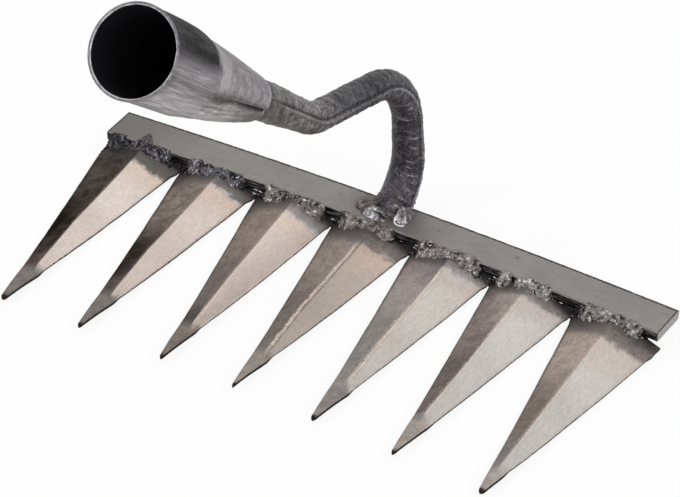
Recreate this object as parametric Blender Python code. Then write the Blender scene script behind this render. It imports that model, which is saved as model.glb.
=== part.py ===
"""Head of a welded seven-tine garden rake: bar, folded tines, bent rod and a tube socket for a handle.

Lengths are metres. X runs along the bar, the tines point to -Y and +Z is up. The pieces are modelled with
the middle of the bar's top front edge at the origin, and the whole head is then set down so that the origin
is under its middle, on the ground.
"""

import math

import bmesh
import bpy
import numpy as np
from mathutils import Matrix, Vector

# The gap that is left where two pieces touch.
CLEARANCE = 0.0003

# Bar.
BAR_WIDTH = 0.019
BAR_THICKNESS = 0.005
BAR_EDGE_RADIUS = 0.0007
BAR_BOW = 0.0039
BAR_STATIONS = 28

# Tines.
TINE_COUNT = 7
TINE_PITCH = 0.040
TINE_SIDE_GAP = 0.0005
TINE_REACH = 0.1210
TINE_PLATE = 0.0015
TINE_FOLD = math.radians(21.5)
TINE_ROOT_LAND = 0.0042
TINE_TIP_WIDTH = 0.0030
TINE_TIP_ROUND = 0.0018
TINE_TIP_BLUNT = 0.32
TINE_TIP_FLAT = 0.030
TINE_SAG = 0.0012
TINE_TIP_LIFT = 0.0019
TINE_RIDGE_RISE = 0.0004
TINE_BODY_STATIONS = 7
TINE_POINT_STATIONS = 4

# Socket tube and its hammered taper.
SOCKET_OUTER_RADIUS = 0.017
SOCKET_WALL = 0.0015
SOCKET_STRAIGHT = 0.038
SOCKET_TAPER = 0.066
SOCKET_LIP_WALL = 0.0013
SOCKET_SHOULDER_EASE = 0.25
SOCKET_EAR = 0.008
SOCKET_FOLD_ANGLE = math.radians(-18)
SOCKET_FOLD_WIDTH = math.radians(9)
SOCKET_FOLD_DEPTH = 0.0011
SOCKET_FOLD_RUN = 0.030
SOCKET_FOLD_FADE = 0.45
SOCKET_EAR_ANGLE = math.radians(-68)
SOCKET_EAR_SPREAD = math.radians(34)
SOCKET_EAR_BULGE = 0.0009
SOCKET_SIDES = 44
SOCKET_TUBE_STATIONS = 3
SOCKET_TAPER_STATIONS = 12

# Gooseneck: a rod bent at three corners, each so far behind its foot and so high above the bar.
NECK_THROAT_BACK = -0.0781
NECK_THROAT_HEIGHT = 0.0930
NECK_ARCH_BACK = 0.0034
NECK_ARCH_HEIGHT = 0.0703
NECK_HEEL_BACK = 0.0114
NECK_HEEL_HEIGHT = 0.0130
NECK_THROAT_BEND = 0.036
NECK_ARCH_BEND = 0.046
NECK_HEEL_BEND = 0.020
NECK_SOCKET_SLOPE = math.radians(40)
NECK_SOCKET_LEG = 0.0607
NECK_TENON = 0.040
NECK_GRIP_RUN = 0.012
NECK_GRIP_RADIUS = 0.0075
NECK_THROAT_RADIUS = 0.0066
NECK_ARCH_RADIUS = 0.0067
NECK_HEEL_RADIUS = 0.0073
NECK_FOOT_RADIUS = 0.0084
NECK_FOOT_LAND = 0.0074
NECK_RIB_HEIGHT = 0.0005
NECK_SIDES = 24
NECK_STATION_STEP = 0.0045
NECK_BEND_POINTS = 7

# Weld beads. A profile gives shares of the bead's leg and of its crown, from the bar over to the tine.
WELD_ON_BAR = 0.0026
WELD_ON_TINE = 0.0042
WELD_CROWN = 0.0016
WELD_LUMP = 0.0006
WELD_END_SIZE = 0.45
WELD_STATIONS = 9
WELD_BAR_PROFILE = ((1.0, 0.0), (0.8, 0.6), (0.1, 1.0))
WELD_TINE_PROFILE = ((0.45, 0.9), (0.85, 0.6), (1.0, 0.0))
NECK_WELD_LEG = 0.0024
NECK_WELD_RISE = 0.0042
NECK_WELD_STOP = 0.0008
NECK_WELD_LUMP = 0.0008

# Where each tine's two beads run, from and to, as shares of the tine's half width from its crease.
WELD_RUNS = (
    (-0.91, -0.48, -0.28, 0.72),
    (-0.82, -0.16, -0.11, 0.66),
    (-0.81, -0.17, 0.04, 0.74),
    (-0.81, -0.42, -0.21, 0.49),
    (-0.85, -0.10, -0.05, 0.72),
    (-0.85, -0.58, -0.35, 0.46),
    (-0.83, 0.11, 0.20, 0.62),
)

# Unevenness of weld metal: each wave has its radians per metre along X, Y and Z, and its shift per seed.
LUMP_WAVES = (
    ((1900, 0, 0), 3.1),
    ((-700, 1300, 0), 1.7),
    ((900, 0, 1700), 0.6),
)

# Sizes that follow from the ones above.
BAR_HALF_LENGTH = TINE_COUNT * TINE_PITCH / 2
TINE_HALF_WIDTH = (TINE_PITCH - TINE_SIDE_GAP) / 2
TINE_SETBACK = CLEARANCE + BAR_BOW * (TINE_PITCH / 2 / BAR_HALF_LENGTH) ** 2
WING_DROP = TINE_HALF_WIDTH * math.tan(TINE_FOLD) - TINE_RIDGE_RISE
SOCKET_LENGTH = SOCKET_STRAIGHT + SOCKET_TAPER
SOCKET_LIP_RADIUS = NECK_GRIP_RADIUS + CLEARANCE + SOCKET_LIP_WALL
SOCKET_INWARD = Vector((0, math.cos(NECK_SOCKET_SLOPE), -math.sin(NECK_SOCKET_SLOPE)))
SOCKET_UPWARD = Vector((0, math.sin(NECK_SOCKET_SLOPE), math.cos(NECK_SOCKET_SLOPE)))
NECK_LEAN = Vector((0, NECK_HEEL_BACK, NECK_HEEL_HEIGHT)).normalized()
NECK_FOOT_LENGTH = NECK_FOOT_RADIUS / NECK_LEAN.z
NECK_FOOT = Vector((0, NECK_FOOT_LAND + NECK_FOOT_LENGTH, 0))
NECK_THROAT = NECK_FOOT + Vector((0, NECK_THROAT_BACK, NECK_THROAT_HEIGHT))
NECK_ARCH = NECK_FOOT + Vector((0, NECK_ARCH_BACK, NECK_ARCH_HEIGHT))
NECK_HEEL = NECK_FOOT + Vector((0, NECK_HEEL_BACK, NECK_HEEL_HEIGHT))
SOCKET_LIP = NECK_THROAT - SOCKET_INWARD * NECK_SOCKET_LEG
SOCKET_MOUTH = SOCKET_LIP - SOCKET_INWARD * SOCKET_LENGTH
NECK_WELD_DROP = BAR_THICKNESS - NECK_WELD_STOP


def clear_scene():
    for old in list(bpy.data.objects):
        bpy.data.objects.remove(old, do_unlink=True)


def steel(name, colour, roughness, metallic):
    material = bpy.data.materials.new(name)
    material.use_nodes = True
    shader = material.node_tree.nodes["Principled BSDF"]
    shader.inputs["Base Color"].default_value = (*colour, 1)
    shader.inputs["Roughness"].default_value = roughness
    shader.inputs["Metallic"].default_value = metallic
    return material


def add_object(name, mesh, material):
    part = bpy.data.objects.new(name, mesh)
    bpy.context.collection.objects.link(part)
    if material and not mesh.materials:
        mesh.materials.append(material)
    return part


def finish_mesh(name, bm, crease_angle=35):
    """Turns a bmesh into a smooth-shaded mesh with its normals out."""
    bmesh.ops.recalc_face_normals(bm, faces=bm.faces)
    mesh = bpy.data.meshes.new(name)
    bm.to_mesh(mesh)
    bm.free()
    mesh.shade_smooth()
    mesh.set_sharp_from_angle(angle=math.radians(crease_angle))
    return mesh


def smooth_step(value):
    value = min(max(value, 0.0), 1.0)
    return value * value * (3 - 2 * value)


def bow_at(x):
    """How far the bar's front edge lies in front of its middle, at x along the bar."""
    return -BAR_BOW * (x / BAR_HALF_LENGTH) ** 2


def bow_slope(x):
    return -2 * BAR_BOW * x / BAR_HALF_LENGTH**2


def loft(bm, rings, closed=False):
    """Joins rings of points with quads, and caps the two ends unless the loft closes on itself."""
    rows = [[bm.verts.new(point) for point in ring] for ring in rings]
    sides = len(rows[0])
    pairs = list(zip(rows, rows[1:]))
    if closed:
        pairs.append((rows[-1], rows[0]))
    for near, far in pairs:
        for i in range(sides):
            j = (i + 1) % sides
            bm.faces.new((near[i], near[j], far[j], far[i]))
    if not closed:
        bm.faces.new(rows[0])
        bm.faces.new(reversed(rows[-1]))
    return rows


def bar_section():
    """The bar's cross-section with rounded edges, as (across, up) points from its top front edge."""
    radius = BAR_EDGE_RADIUS
    corners = (
        (radius, -radius, 90),
        (radius, radius - BAR_THICKNESS, 180),
        (BAR_WIDTH - radius, radius - BAR_THICKNESS, 270),
        (BAR_WIDTH - radius, -radius, 0),
    )
    points = []
    for across, up, start in corners:
        for turn in (0, 45, 90):
            angle = math.radians(start + turn)
            points.append((across + radius * math.cos(angle), up + radius * math.sin(angle)))
    return points


def bar_mesh(name, grow=0.0):
    """The bowed bar. A grown bar is a cutter that keeps the clearance around it."""
    section = bar_section()
    middle = Vector((BAR_WIDTH / 2, -BAR_THICKNESS / 2))
    stretch = (1 + 2 * grow / BAR_WIDTH, 1 + 2 * grow / BAR_THICKNESS)
    rings = []
    for x in np.linspace(-BAR_HALF_LENGTH - grow, BAR_HALF_LENGTH + grow, BAR_STATIONS + 1):
        ring = []
        for across, up in section:
            across = middle.x + (across - middle.x) * stretch[0]
            up = middle.y + (up - middle.y) * stretch[1]
            ring.append((x, bow_at(x) + across, up))
        rings.append(ring)
    bm = bmesh.new()
    loft(bm, rings)
    return finish_mesh(name, bm)


def build_bar():
    return add_object("tine_bar", bar_mesh("tine_bar"), steel("bar_steel", (0.24, 0.235, 0.22), 0.45, 0.9))


def tine_half_width(distance):
    """Half the tine's width at a distance from its root: a short land, a straight taper and a round tip."""
    if distance <= TINE_ROOT_LAND:
        return TINE_HALF_WIDTH
    run = (distance - TINE_ROOT_LAND) / (TINE_REACH - TINE_ROOT_LAND)
    half = TINE_HALF_WIDTH + (TINE_TIP_WIDTH / 2 - TINE_HALF_WIDTH) * run
    left = (TINE_REACH - distance) / TINE_TIP_ROUND
    if left < 1:
        half *= max(TINE_TIP_BLUNT, math.sqrt(1 - (1 - left) ** 2))
    return half


def tine_fold_at(distance):
    """The fold's angle, which fades out to a flat point."""
    return TINE_FOLD * min(1.0, (TINE_REACH - distance) / TINE_TIP_FLAT)


def tine_ridge_height(distance):
    """Height of the crease, which sags a little on its way down to the tip."""
    run = distance / TINE_REACH
    tip = TINE_TIP_LIFT - WING_DROP
    return TINE_RIDGE_RISE + (tip - TINE_RIDGE_RISE) * run - 4 * TINE_SAG * run * (1 - run)


def tine_ring(distance):
    """One cross-section of the folded plate, around its top and back along its underside."""
    half = tine_half_width(distance)
    fold = tine_fold_at(distance)
    ridge = tine_ridge_height(distance)
    y = -distance
    top = []
    under = []
    for share in (-1.0, -0.5, 0.0, 0.5, 1.0):
        x = share * half
        z = ridge - abs(x) * math.tan(fold)
        lean = math.copysign(fold, share) if share else 0.0
        thick = TINE_PLATE if share else TINE_PLATE / math.cos(fold)
        top.append((x, y, z))
        under.append((x - thick * math.sin(lean), y, z - thick * math.cos(lean)))
    return top + under[::-1]


def tine_stations():
    """Distances from the root, closer together where the land, the fading fold and the tip need them."""
    straight_end = TINE_REACH - TINE_TIP_FLAT
    stations = [TINE_SETBACK, TINE_ROOT_LAND]
    stations += list(np.linspace(TINE_ROOT_LAND, straight_end, TINE_BODY_STATIONS + 1)[1:])
    stations += list(np.linspace(straight_end, TINE_REACH - TINE_TIP_ROUND, TINE_POINT_STATIONS + 1)[1:])
    stations += [TINE_REACH - TINE_TIP_ROUND * left for left in (0.6, 0.25, 0.0)]
    return stations


def build_tines():
    bm = bmesh.new()
    loft(bm, [tine_ring(distance) for distance in tine_stations()])
    mesh = finish_mesh("tine", bm, crease_angle=15)
    material = steel("tine_steel", (0.42, 0.40, 0.37), 0.35, 1.0)
    tines = []
    for index in range(TINE_COUNT):
        tine = add_object(f"tine_{index + 1}", mesh, material)
        tine.matrix_world = tine_placement(index)
        tines.append(tine)
    return tines


def tine_x(index):
    return (index - (TINE_COUNT - 1) / 2) * TINE_PITCH


def tine_placement(index):
    """Stands a tine square to the bowed bar."""
    x = tine_x(index)
    turn = math.atan(bow_slope(x))
    return Matrix.Translation((x, bow_at(x), 0)) @ Matrix.Rotation(turn, 4, "Z")


def bend_points(before, corner, after, radius):
    """Points of the arc that rounds one corner of a bent rod."""
    towards = (before - corner).normalized()
    away = (after - corner).normalized()
    half = towards.angle(away) / 2
    centre = corner + (towards + away).normalized() * radius / math.sin(half)
    start = corner + towards * radius / math.tan(half) - centre
    end = corner + away * radius / math.tan(half) - centre
    shares = np.linspace(0, 1, NECK_BEND_POINTS)
    return [centre + start.slerp(end, share).normalized() * radius for share in shares]


def neck_route():
    """The rod's centre line, from its end in the socket to its foot on the bar."""
    tenon_end = SOCKET_LIP - SOCKET_INWARD * NECK_TENON
    past_foot = NECK_FOOT - NECK_LEAN * (NECK_FOOT_RADIUS + NECK_FOOT_LENGTH)
    line = [tenon_end, NECK_THROAT, NECK_ARCH, NECK_HEEL, past_foot]
    bends = (NECK_THROAT_BEND, NECK_ARCH_BEND, NECK_HEEL_BEND)
    route = [tenon_end]
    for i, radius in enumerate(bends, start=1):
        route += bend_points(line[i - 1], line[i], line[i + 1], radius)
    return route + [past_foot]


def resample(route, step):
    """Evenly spaced points along a route, with the distance of each from its start."""
    points = np.array([tuple(point) for point in route])
    lengths = np.concatenate(([0.0], np.cumsum(np.linalg.norm(np.diff(points, axis=0), axis=1))))
    count = max(2, round(lengths[-1] / step))
    distances = np.linspace(0, lengths[-1], count + 1)
    even = [np.interp(distances, lengths, points[:, axis]) for axis in range(3)]
    return [Vector(point) for point in zip(*even)], distances


def neck_radii(points, distances):
    """The forged rod is thick in the socket's grip and at the foot, and thinner between, bend by bend."""
    marks = [
        (NECK_TENON + NECK_GRIP_RUN, NECK_GRIP_RADIUS),
        (distances[-1], NECK_FOOT_RADIUS),
    ]
    bends = (
        (NECK_THROAT, NECK_THROAT_RADIUS),
        (NECK_ARCH, NECK_ARCH_RADIUS),
        (NECK_HEEL, NECK_HEEL_RADIUS),
    )
    for corner, radius in bends:
        nearest = min(range(len(points)), key=lambda i: (points[i] - corner).length)
        marks.append((distances[nearest], radius))
    places, radii = zip(*sorted(marks))
    return np.interp(distances, places, radii)


def neck_rib(side, distance):
    """Height of the rod's two long ribs, one on each side, which are hammered flat in the socket's grip."""
    if side % (NECK_SIDES // 2):
        return 0.0
    return NECK_RIB_HEIGHT * smooth_step((distance - NECK_TENON) / NECK_GRIP_RADIUS - 1)


def neck_rings(grow=0.0):
    points, distances = resample(neck_route(), NECK_STATION_STEP)
    radii = neck_radii(points, distances)
    rings = []
    for i, point in enumerate(points):
        along = (points[min(i + 1, len(points) - 1)] - points[max(i - 1, 0)]).normalized()
        up = Vector((1, 0, 0)).cross(along)
        ring = []
        for side in range(NECK_SIDES):
            angle = 2 * math.pi * side / NECK_SIDES
            reach = radii[i] + grow + neck_rib(side, distances[i])
            ring.append(point + Vector((math.cos(angle) * reach, 0, 0)) + up * math.sin(angle) * reach)
        rings.append(ring)
    return rings


def neck_mesh(name, grow=0.0, foot_height=CLEARANCE):
    """The bent rod, cut level at its foot."""
    bm = bmesh.new()
    loft(bm, neck_rings(grow))
    everything = bm.verts[:] + bm.edges[:] + bm.faces[:]
    cut = bmesh.ops.bisect_plane(
        bm, geom=everything, plane_co=(0, 0, foot_height), plane_no=(0, 0, -1), clear_outer=True
    )
    rim = [item for item in cut["geom_cut"] if isinstance(item, bmesh.types.BMEdge)]
    bmesh.ops.contextual_create(bm, geom=rim)
    return finish_mesh(name, bm, crease_angle=50)


def build_neck():
    material = steel("rod_steel", (0.035, 0.035, 0.04), 0.55, 0.8)
    return add_object("gooseneck", neck_mesh("gooseneck"), material)


def fold_shape(angle):
    """Returns how far the fold's groove and the slack ear below it show at an angle around the socket."""
    groove = math.exp(-(((angle - SOCKET_FOLD_ANGLE) / SOCKET_FOLD_WIDTH) ** 2))
    ear = math.exp(-(((angle - SOCKET_EAR_ANGLE) / SOCKET_EAR_SPREAD) ** 2))
    return groove, ear


def socket_outer_radius(along, angle):
    """Outer radius at a distance from the mouth, from 0 to 1 down the taper once the straight part ends."""
    taper = min(max((along - SOCKET_STRAIGHT) / SOCKET_TAPER, 0.0), 1.0)
    eased = taper + (smooth_step(taper) - taper) * SOCKET_SHOULDER_EASE
    groove, ear = fold_shape(angle)
    strength = smooth_step((along - SOCKET_STRAIGHT) / SOCKET_FOLD_RUN) * (1 - SOCKET_FOLD_FADE * taper)
    radius = SOCKET_OUTER_RADIUS + (SOCKET_LIP_RADIUS - SOCKET_OUTER_RADIUS) * eased
    radius += strength * (SOCKET_EAR_BULGE * ear - SOCKET_FOLD_DEPTH * groove)
    return max(radius, SOCKET_LIP_RADIUS - SOCKET_LIP_WALL / 2)


def socket_inner_radius(along, angle):
    taper = min(max((along - SOCKET_STRAIGHT) / SOCKET_TAPER, 0.0), 1.0)
    wall = SOCKET_WALL + (SOCKET_LIP_WALL - SOCKET_WALL) * taper
    grip = NECK_GRIP_RADIUS + CLEARANCE
    return max(socket_outer_radius(along, angle) - wall, grip)


def socket_stations():
    straight = list(np.linspace(0, SOCKET_STRAIGHT, SOCKET_TUBE_STATIONS + 1))
    taper = list(np.linspace(SOCKET_STRAIGHT, SOCKET_LENGTH, SOCKET_TAPER_STATIONS + 1)[1:])
    return straight + taper


def socket_ring(along, radius_at):
    """One ring of the tube's wall. Towards the lip the rings lean out to the ear's longer edge."""
    ring = []
    for side in range(SOCKET_SIDES):
        angle = -math.pi + 2 * math.pi * side / SOCKET_SIDES
        ear = fold_shape(angle)[1]
        reach = along + SOCKET_EAR * ear * smooth_step((along - SOCKET_STRAIGHT) / SOCKET_TAPER)
        radius = radius_at(along, angle)
        across = Vector((math.cos(angle), 0, 0)) + SOCKET_UPWARD * math.sin(angle)
        ring.append(SOCKET_MOUTH + SOCKET_INWARD * reach + across * radius)
    return ring


def build_socket():
    """The tube's wall as one closed surface: down the outside, round the lip and back up the bore."""
    stations = socket_stations()
    outside = [socket_ring(along, socket_outer_radius) for along in stations]
    inside = [socket_ring(along, socket_inner_radius) for along in reversed(stations)]
    bm = bmesh.new()
    loft(bm, outside + inside, closed=True)
    mesh = finish_mesh("handle_socket", bm, crease_angle=40)
    return add_object("handle_socket", mesh, steel("tube_steel", (0.33, 0.32, 0.34), 0.4, 1.0))


def lump(place, seed):
    """A smooth, repeatable unevenness between -1 and 1."""
    waves = [math.sin(Vector(wave).dot(place) + shift * seed) for wave, shift in LUMP_WAVES]
    return sum(waves) / len(waves)


def tine_face_height(x, distance):
    """Height of a tine's upper face at x from its crease and at a distance from its root."""
    return tine_ridge_height(distance) - abs(x) * math.tan(tine_fold_at(distance))


def weld_ring(x, size, seed):
    """One slice of a fillet bead, in the corner between the bar's front edge and a tine's upper face."""
    along = Vector((x, 0, 0))
    crown = size * (WELD_CROWN + WELD_LUMP * lump(along, seed))
    on_bar = size * (WELD_ON_BAR + WELD_LUMP * lump(along, seed + 1))
    on_tine = size * (WELD_ON_TINE + WELD_LUMP * lump(along, seed + 2))
    rest = CLEARANCE / math.cos(TINE_FOLD)
    root = tine_face_height(x, TINE_SETBACK) + rest
    toe = tine_face_height(x, TINE_SETBACK + on_tine) + rest
    ring = [(x, -TINE_SETBACK, root), (x, -TINE_SETBACK, CLEARANCE)]
    for leg, height in WELD_BAR_PROFILE:
        ring.append((x, on_bar * leg, CLEARANCE + crown * height))
    for leg, height in WELD_TINE_PROFILE:
        chord = CLEARANCE + (toe - CLEARANCE) * leg
        face = tine_face_height(x, TINE_SETBACK + on_tine * leg) + rest
        ring.append((x, -TINE_SETBACK - on_tine * leg, max(chord, face) + crown * height))
    return ring


def bead_stations(start, end):
    """Places of a bead's slices along the bar, with one on the tine's crease where the bead crosses it."""
    places = list(np.linspace(start, end, WELD_STATIONS))
    if start < 0 < end:
        nearest = min(range(WELD_STATIONS), key=lambda i: abs(places[i]))
        places[nearest] = 0.0
    return places


def build_bead(name, start, end, seed, material):
    """One bead, full in its middle and small at its two ends."""
    rings = []
    for x in bead_stations(start, end):
        share = (x - start) / (end - start)
        size = WELD_END_SIZE + (1 - WELD_END_SIZE) * math.sqrt(max(0.0, 1 - (2 * share - 1) ** 2))
        rings.append(weld_ring(x, size, seed))
    bm = bmesh.new()
    loft(bm, rings)
    return add_object(name, finish_mesh(name, bm), material)


def build_tine_welds():
    material = steel("weld_steel", (0.09, 0.085, 0.09), 0.35, 0.9)
    welds = []
    for index in range(TINE_COUNT):
        runs = [share * TINE_HALF_WIDTH for share in WELD_RUNS[index % len(WELD_RUNS)]]
        left_from, left_to, right_from, right_to = runs
        for side, start, end in (("left", left_from, left_to), ("right", right_from, right_to)):
            bead = build_bead(f"tine_{index + 1}_weld_{side}", start, end, 2 * index + len(side), material)
            bead.matrix_world = tine_placement(index)
            welds.append(bead)
    return welds


def cutter(name, mesh):
    """An unseen object that only shapes another."""
    tool = add_object(name, mesh, None)
    tool.hide_render = True
    tool.display_type = "WIRE"
    return tool


def cut(part, tool):
    boolean = part.modifiers.new("clear of " + tool.name, "BOOLEAN")
    boolean.operation = "DIFFERENCE"
    boolean.object = tool


def build_neck_weld():
    """The weld that runs around the rod's foot and fills the corner behind the bar."""
    half_width = NECK_FOOT_RADIUS + NECK_WELD_LEG
    half_length = NECK_FOOT_LENGTH + NECK_WELD_LEG
    bm = bmesh.new()
    bmesh.ops.create_icosphere(bm, subdivisions=4, radius=1.0)
    for vert in bm.verts:
        place = vert.co.copy()
        rise = NECK_WELD_RISE if place.z > 0 else NECK_WELD_DROP
        spread = Vector((place.x * half_width, place.y * half_length, place.z * rise))
        vert.co = NECK_FOOT + spread
        vert.co += place * NECK_WELD_LUMP * lump(spread, 0)
    material = steel("bright_weld", (0.4, 0.4, 0.4), 0.3, 1.0)
    weld = add_object("neck_weld", finish_mesh("neck_weld", bm), material)
    cut(weld, cutter("neck_clear", neck_mesh("neck_clear", grow=CLEARANCE, foot_height=0.0)))
    cut(weld, cutter("bar_clear", bar_mesh("bar_clear", grow=CLEARANCE)))
    return weld


def set_down(parts):
    """Moves the head so that the middle of its outline, on the ground, is the origin."""
    bpy.context.view_layer.update()
    graph = bpy.context.evaluated_depsgraph_get()
    corners = []
    for part in parts:
        seen = part.evaluated_get(graph)
        corners += [seen.matrix_world @ vert.co for vert in seen.data.vertices]
    low = Vector([min(corner[axis] for corner in corners) for axis in range(3)])
    high = Vector([max(corner[axis] for corner in corners) for axis in range(3)])
    origin = Vector(((low.x + high.x) / 2, (low.y + high.y) / 2, low.z))
    for item in bpy.data.objects:
        item.matrix_world = Matrix.Translation(-origin) @ item.matrix_world
    print("bar's front edge now lies at", tuple(round(value, 6) for value in -origin))


def main():
    clear_scene()
    parts = [build_socket(), build_neck(), build_bar()]
    parts += build_tines()
    parts += build_tine_welds()
    parts.append(build_neck_weld())
    set_down(parts)


main()
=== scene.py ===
"""Looks of a welded garden rake's head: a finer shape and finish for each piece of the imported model.

Lengths are metres in the model's frame: X runs along the bar, the tines point to -Y and +Z is up. Names that
end in _MM are millimetres, and so are the places that the materials read from each mesh.
"""

import math
import random
from functools import reduce
from operator import mul
from typing import NamedTuple

import bmesh
import bpy
import numpy as np
from mathutils import Matrix, Vector, noise


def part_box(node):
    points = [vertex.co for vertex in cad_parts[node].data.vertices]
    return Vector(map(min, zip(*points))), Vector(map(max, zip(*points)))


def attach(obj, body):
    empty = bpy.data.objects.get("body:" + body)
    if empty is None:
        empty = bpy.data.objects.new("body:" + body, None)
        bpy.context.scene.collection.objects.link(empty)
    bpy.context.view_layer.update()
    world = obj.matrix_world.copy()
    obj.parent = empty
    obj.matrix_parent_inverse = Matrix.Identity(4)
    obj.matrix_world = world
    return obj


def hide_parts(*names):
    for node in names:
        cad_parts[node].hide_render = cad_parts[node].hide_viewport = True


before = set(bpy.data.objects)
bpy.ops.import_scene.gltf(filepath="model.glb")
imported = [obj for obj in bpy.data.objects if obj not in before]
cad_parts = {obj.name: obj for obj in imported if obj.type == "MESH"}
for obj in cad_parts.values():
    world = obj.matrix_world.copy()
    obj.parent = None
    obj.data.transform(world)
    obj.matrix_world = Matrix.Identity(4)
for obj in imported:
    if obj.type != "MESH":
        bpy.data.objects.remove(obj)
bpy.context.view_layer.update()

MM = 0.001
BODY = "root"
CLEARANCE = 0.0003
DIM_TINT = 0.4  # how bright the gleam of ground steel is

# Bar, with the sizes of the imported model.
BAR_WIDTH = 0.019
BAR_THICKNESS = 0.005
BAR_EDGE_RADIUS = 0.0007
BAR_BOW = 0.0039
BAR_HALF_LENGTH = 0.140
BAR_SHOWN_LEFT = 0.1407
BAR_SHOWN_RIGHT = 0.1414
BAR_RIGHT_SLANT = 0.0018
BAR_STATIONS = 280
BAR_ACROSS = 20
BAR_CORNER_TURNS = 4
BAR_DENT_SIZE = 0.006
BAR_DENT = 0.00002
BAR_NICK_SIZE = 0.0013
BAR_NICK = 0.00022
BAR_NICKS_OFF_EDGE = 0.12
BAR_HEAT_SPOTS = (((-0.006, -0.006, 0), 0.009), ((0.004, -0.010, 0), 0.007))  # place from the foot, reach
# Dark spots on the bar: x, y and radius.
BAR_SPOTS_MM = ((-23.4, 91.2, 0.9), (27.5, 90.3, 1.0), (65.8, 91.1, 1.3), (116.2, 88.0, 0.9))

# Tines.
TINE_COUNT = 7
TINE_PITCH = 0.040
TINE_HALF_WIDTH = 0.01975
TINE_REACH = 0.1210
TINE_PLATE = 0.0015
TINE_FOLD = math.radians(21.5)
TINE_ROOT_LAND = 0.0042
TINE_TIP_WIDTH = 0.0030
TINE_TIP_ROUND = 0.0018
TINE_TIP_BLUNT = 0.32
TINE_TIP_FLAT = 0.030
TINE_SAG = 0.0012
TINE_TIP_LIFT = 0.0019
TINE_RIDGE_RISE = 0.0004
TINE_SETBACK = CLEARANCE + BAR_BOW * (TINE_PITCH / 2 / BAR_HALF_LENGTH) ** 2
WING_DROP = TINE_HALF_WIDTH * math.tan(TINE_FOLD) - TINE_RIDGE_RISE
TINE_CREASE_SOFTNESS = 0.0006
TINE_EDGE_BEVEL = 0.0002
TINE_STATIONS = 150
TINE_TOP_COLUMNS = 34
TINE_UNDER_COLUMNS = 14
TINE_SHOWN_REACH = 0.1197
TINE_NARROW = 0.012
TINE_SHAPE_STARTS = 0.003
TINE_SHAPE_RUN = 0.005
TINE_CREASE_MARKS_MM = (20, 62, 97)
TINE_FOLD_ENDS = 0.092
TINE_FOLD_RUN = 0.007
TINE_CORNER_RUN = 0.011
TINE_EDGE_WAVES = ((0.011, 0.00012, 0), (0.0024, 0.00005, 50))  # length, height, seed
TINE_POINT_STATIONS = 12
TINE_DENT_SIZE = 0.016
TINE_DENT = 0.00016
TINE_DENT_FADE = 0.02


class Tine(NamedTuple):
    """What sets one hand-cut tine apart: shapes in mm and screen colours from 0 to 255."""

    shift: tuple  # its middle's offset to the right, at the root and at the tip
    trim: tuple  # how much narrower each side is, at the root and at the tip
    crease: tuple  # the crease's offset to the right, at the three crease marks
    heat: tuple  # where the heat tint ends, on the crease and at the side edge
    # right and tan colour the right facet under painted light; left_root, left and left_end colour the left
    # facet under painted shade, over its own heat darkening.
    right: tuple
    tan: tuple
    left_root: tuple
    left: tuple
    left_end: tuple
    tip: tuple
    worn: float  # how bright the worn band on the crease is, which also carries a painted highlight
    crease_shade_line: float  # how dark the painted shade line beside the crease is
    halo: float  # how bright the heat tint's border is
    band: tuple  # the heat tint's colour
    mottled: float  # how uneven the left facet's tone is
    late_fold: float = 0.0  # how much nearer to the tip its fold ends
    wide_root: float = 0.0  # how much wider it is at its root's right corner


TINES = (
    Tine((-1.4, -1.0), (-0.15, 0.65), (0.3, -0.9, 0.5), (12.0, 13.3),
         (206, 195, 187), (200, 184, 172), (78, 70, 66), (38, 34, 32), (86, 76, 74), (128, 121, 117),
         0.15, 0.0, 0.1, (108, 102, 98), 1.0),
    Tine((-0.75, -0.65), (0.4, 1.0), (0.9, -0.75, 0.6), (11.2, 10.8),
         (200, 188, 180), (196, 178, 165), (142, 131, 125), (62, 54, 51), (95, 85, 82), (126, 120, 116),
         0.15, 0.0, 0.7, (122, 116, 114), 0.8),
    Tine((-0.5, 2.0), (0.3, 1.1), (0.6, 0.9, 2.6), (11.8, 11.4),
         (204, 190, 182), (206, 188, 176), (150, 137, 129), (124, 115, 111), (90, 86, 84), (128, 119, 112),
         0.2, 0.0, 0.8, (166, 158, 155), 0.3),
    Tine((-0.5, -1.0), (0.4, 1.4), (0.2, -0.9, 0.5), (15.5, 11.5),
         (174, 163, 154), (188, 169, 156), (158, 146, 139), (128, 119, 114), (126, 120, 116), (158, 149, 142),
         0.95, 0.5, 0.2, (140, 131, 126), 0.3),
    Tine((-0.4, -0.75), (0.3, 0.85), (0.5, -0.1, 0.6), (11.2, 7.6),
         (190, 183, 177), (182, 172, 166), (172, 162, 160), (146, 141, 137), (156, 146, 143), (160, 152, 148),
         0.8, 0.2, 0.4, (164, 157, 154), 0.15),
    Tine((-0.2, -1.3), (0.4, 1.1), (-1.1, -1.4, -1.6), (10.0, 7.0),
         (190, 185, 180), (182, 172, 166), (178, 166, 160), (124, 114, 110), (124, 115, 115), (172, 163, 154),
         0.45, 0.1, 0.4, (138, 130, 127), 0.35),
    Tine((1.0, 1.05), (-0.5, 0.65), (0.05, 0.03, 0.7), (15.0, 13.0),
         (190, 185, 180), (186, 176, 168), (178, 164, 154), (142, 131, 124), (156, 148, 146), (172, 163, 158),
         0.3, 0.1, 0.1, (132, 123, 119), 0.3, 9.0, 2.2),
)

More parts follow.
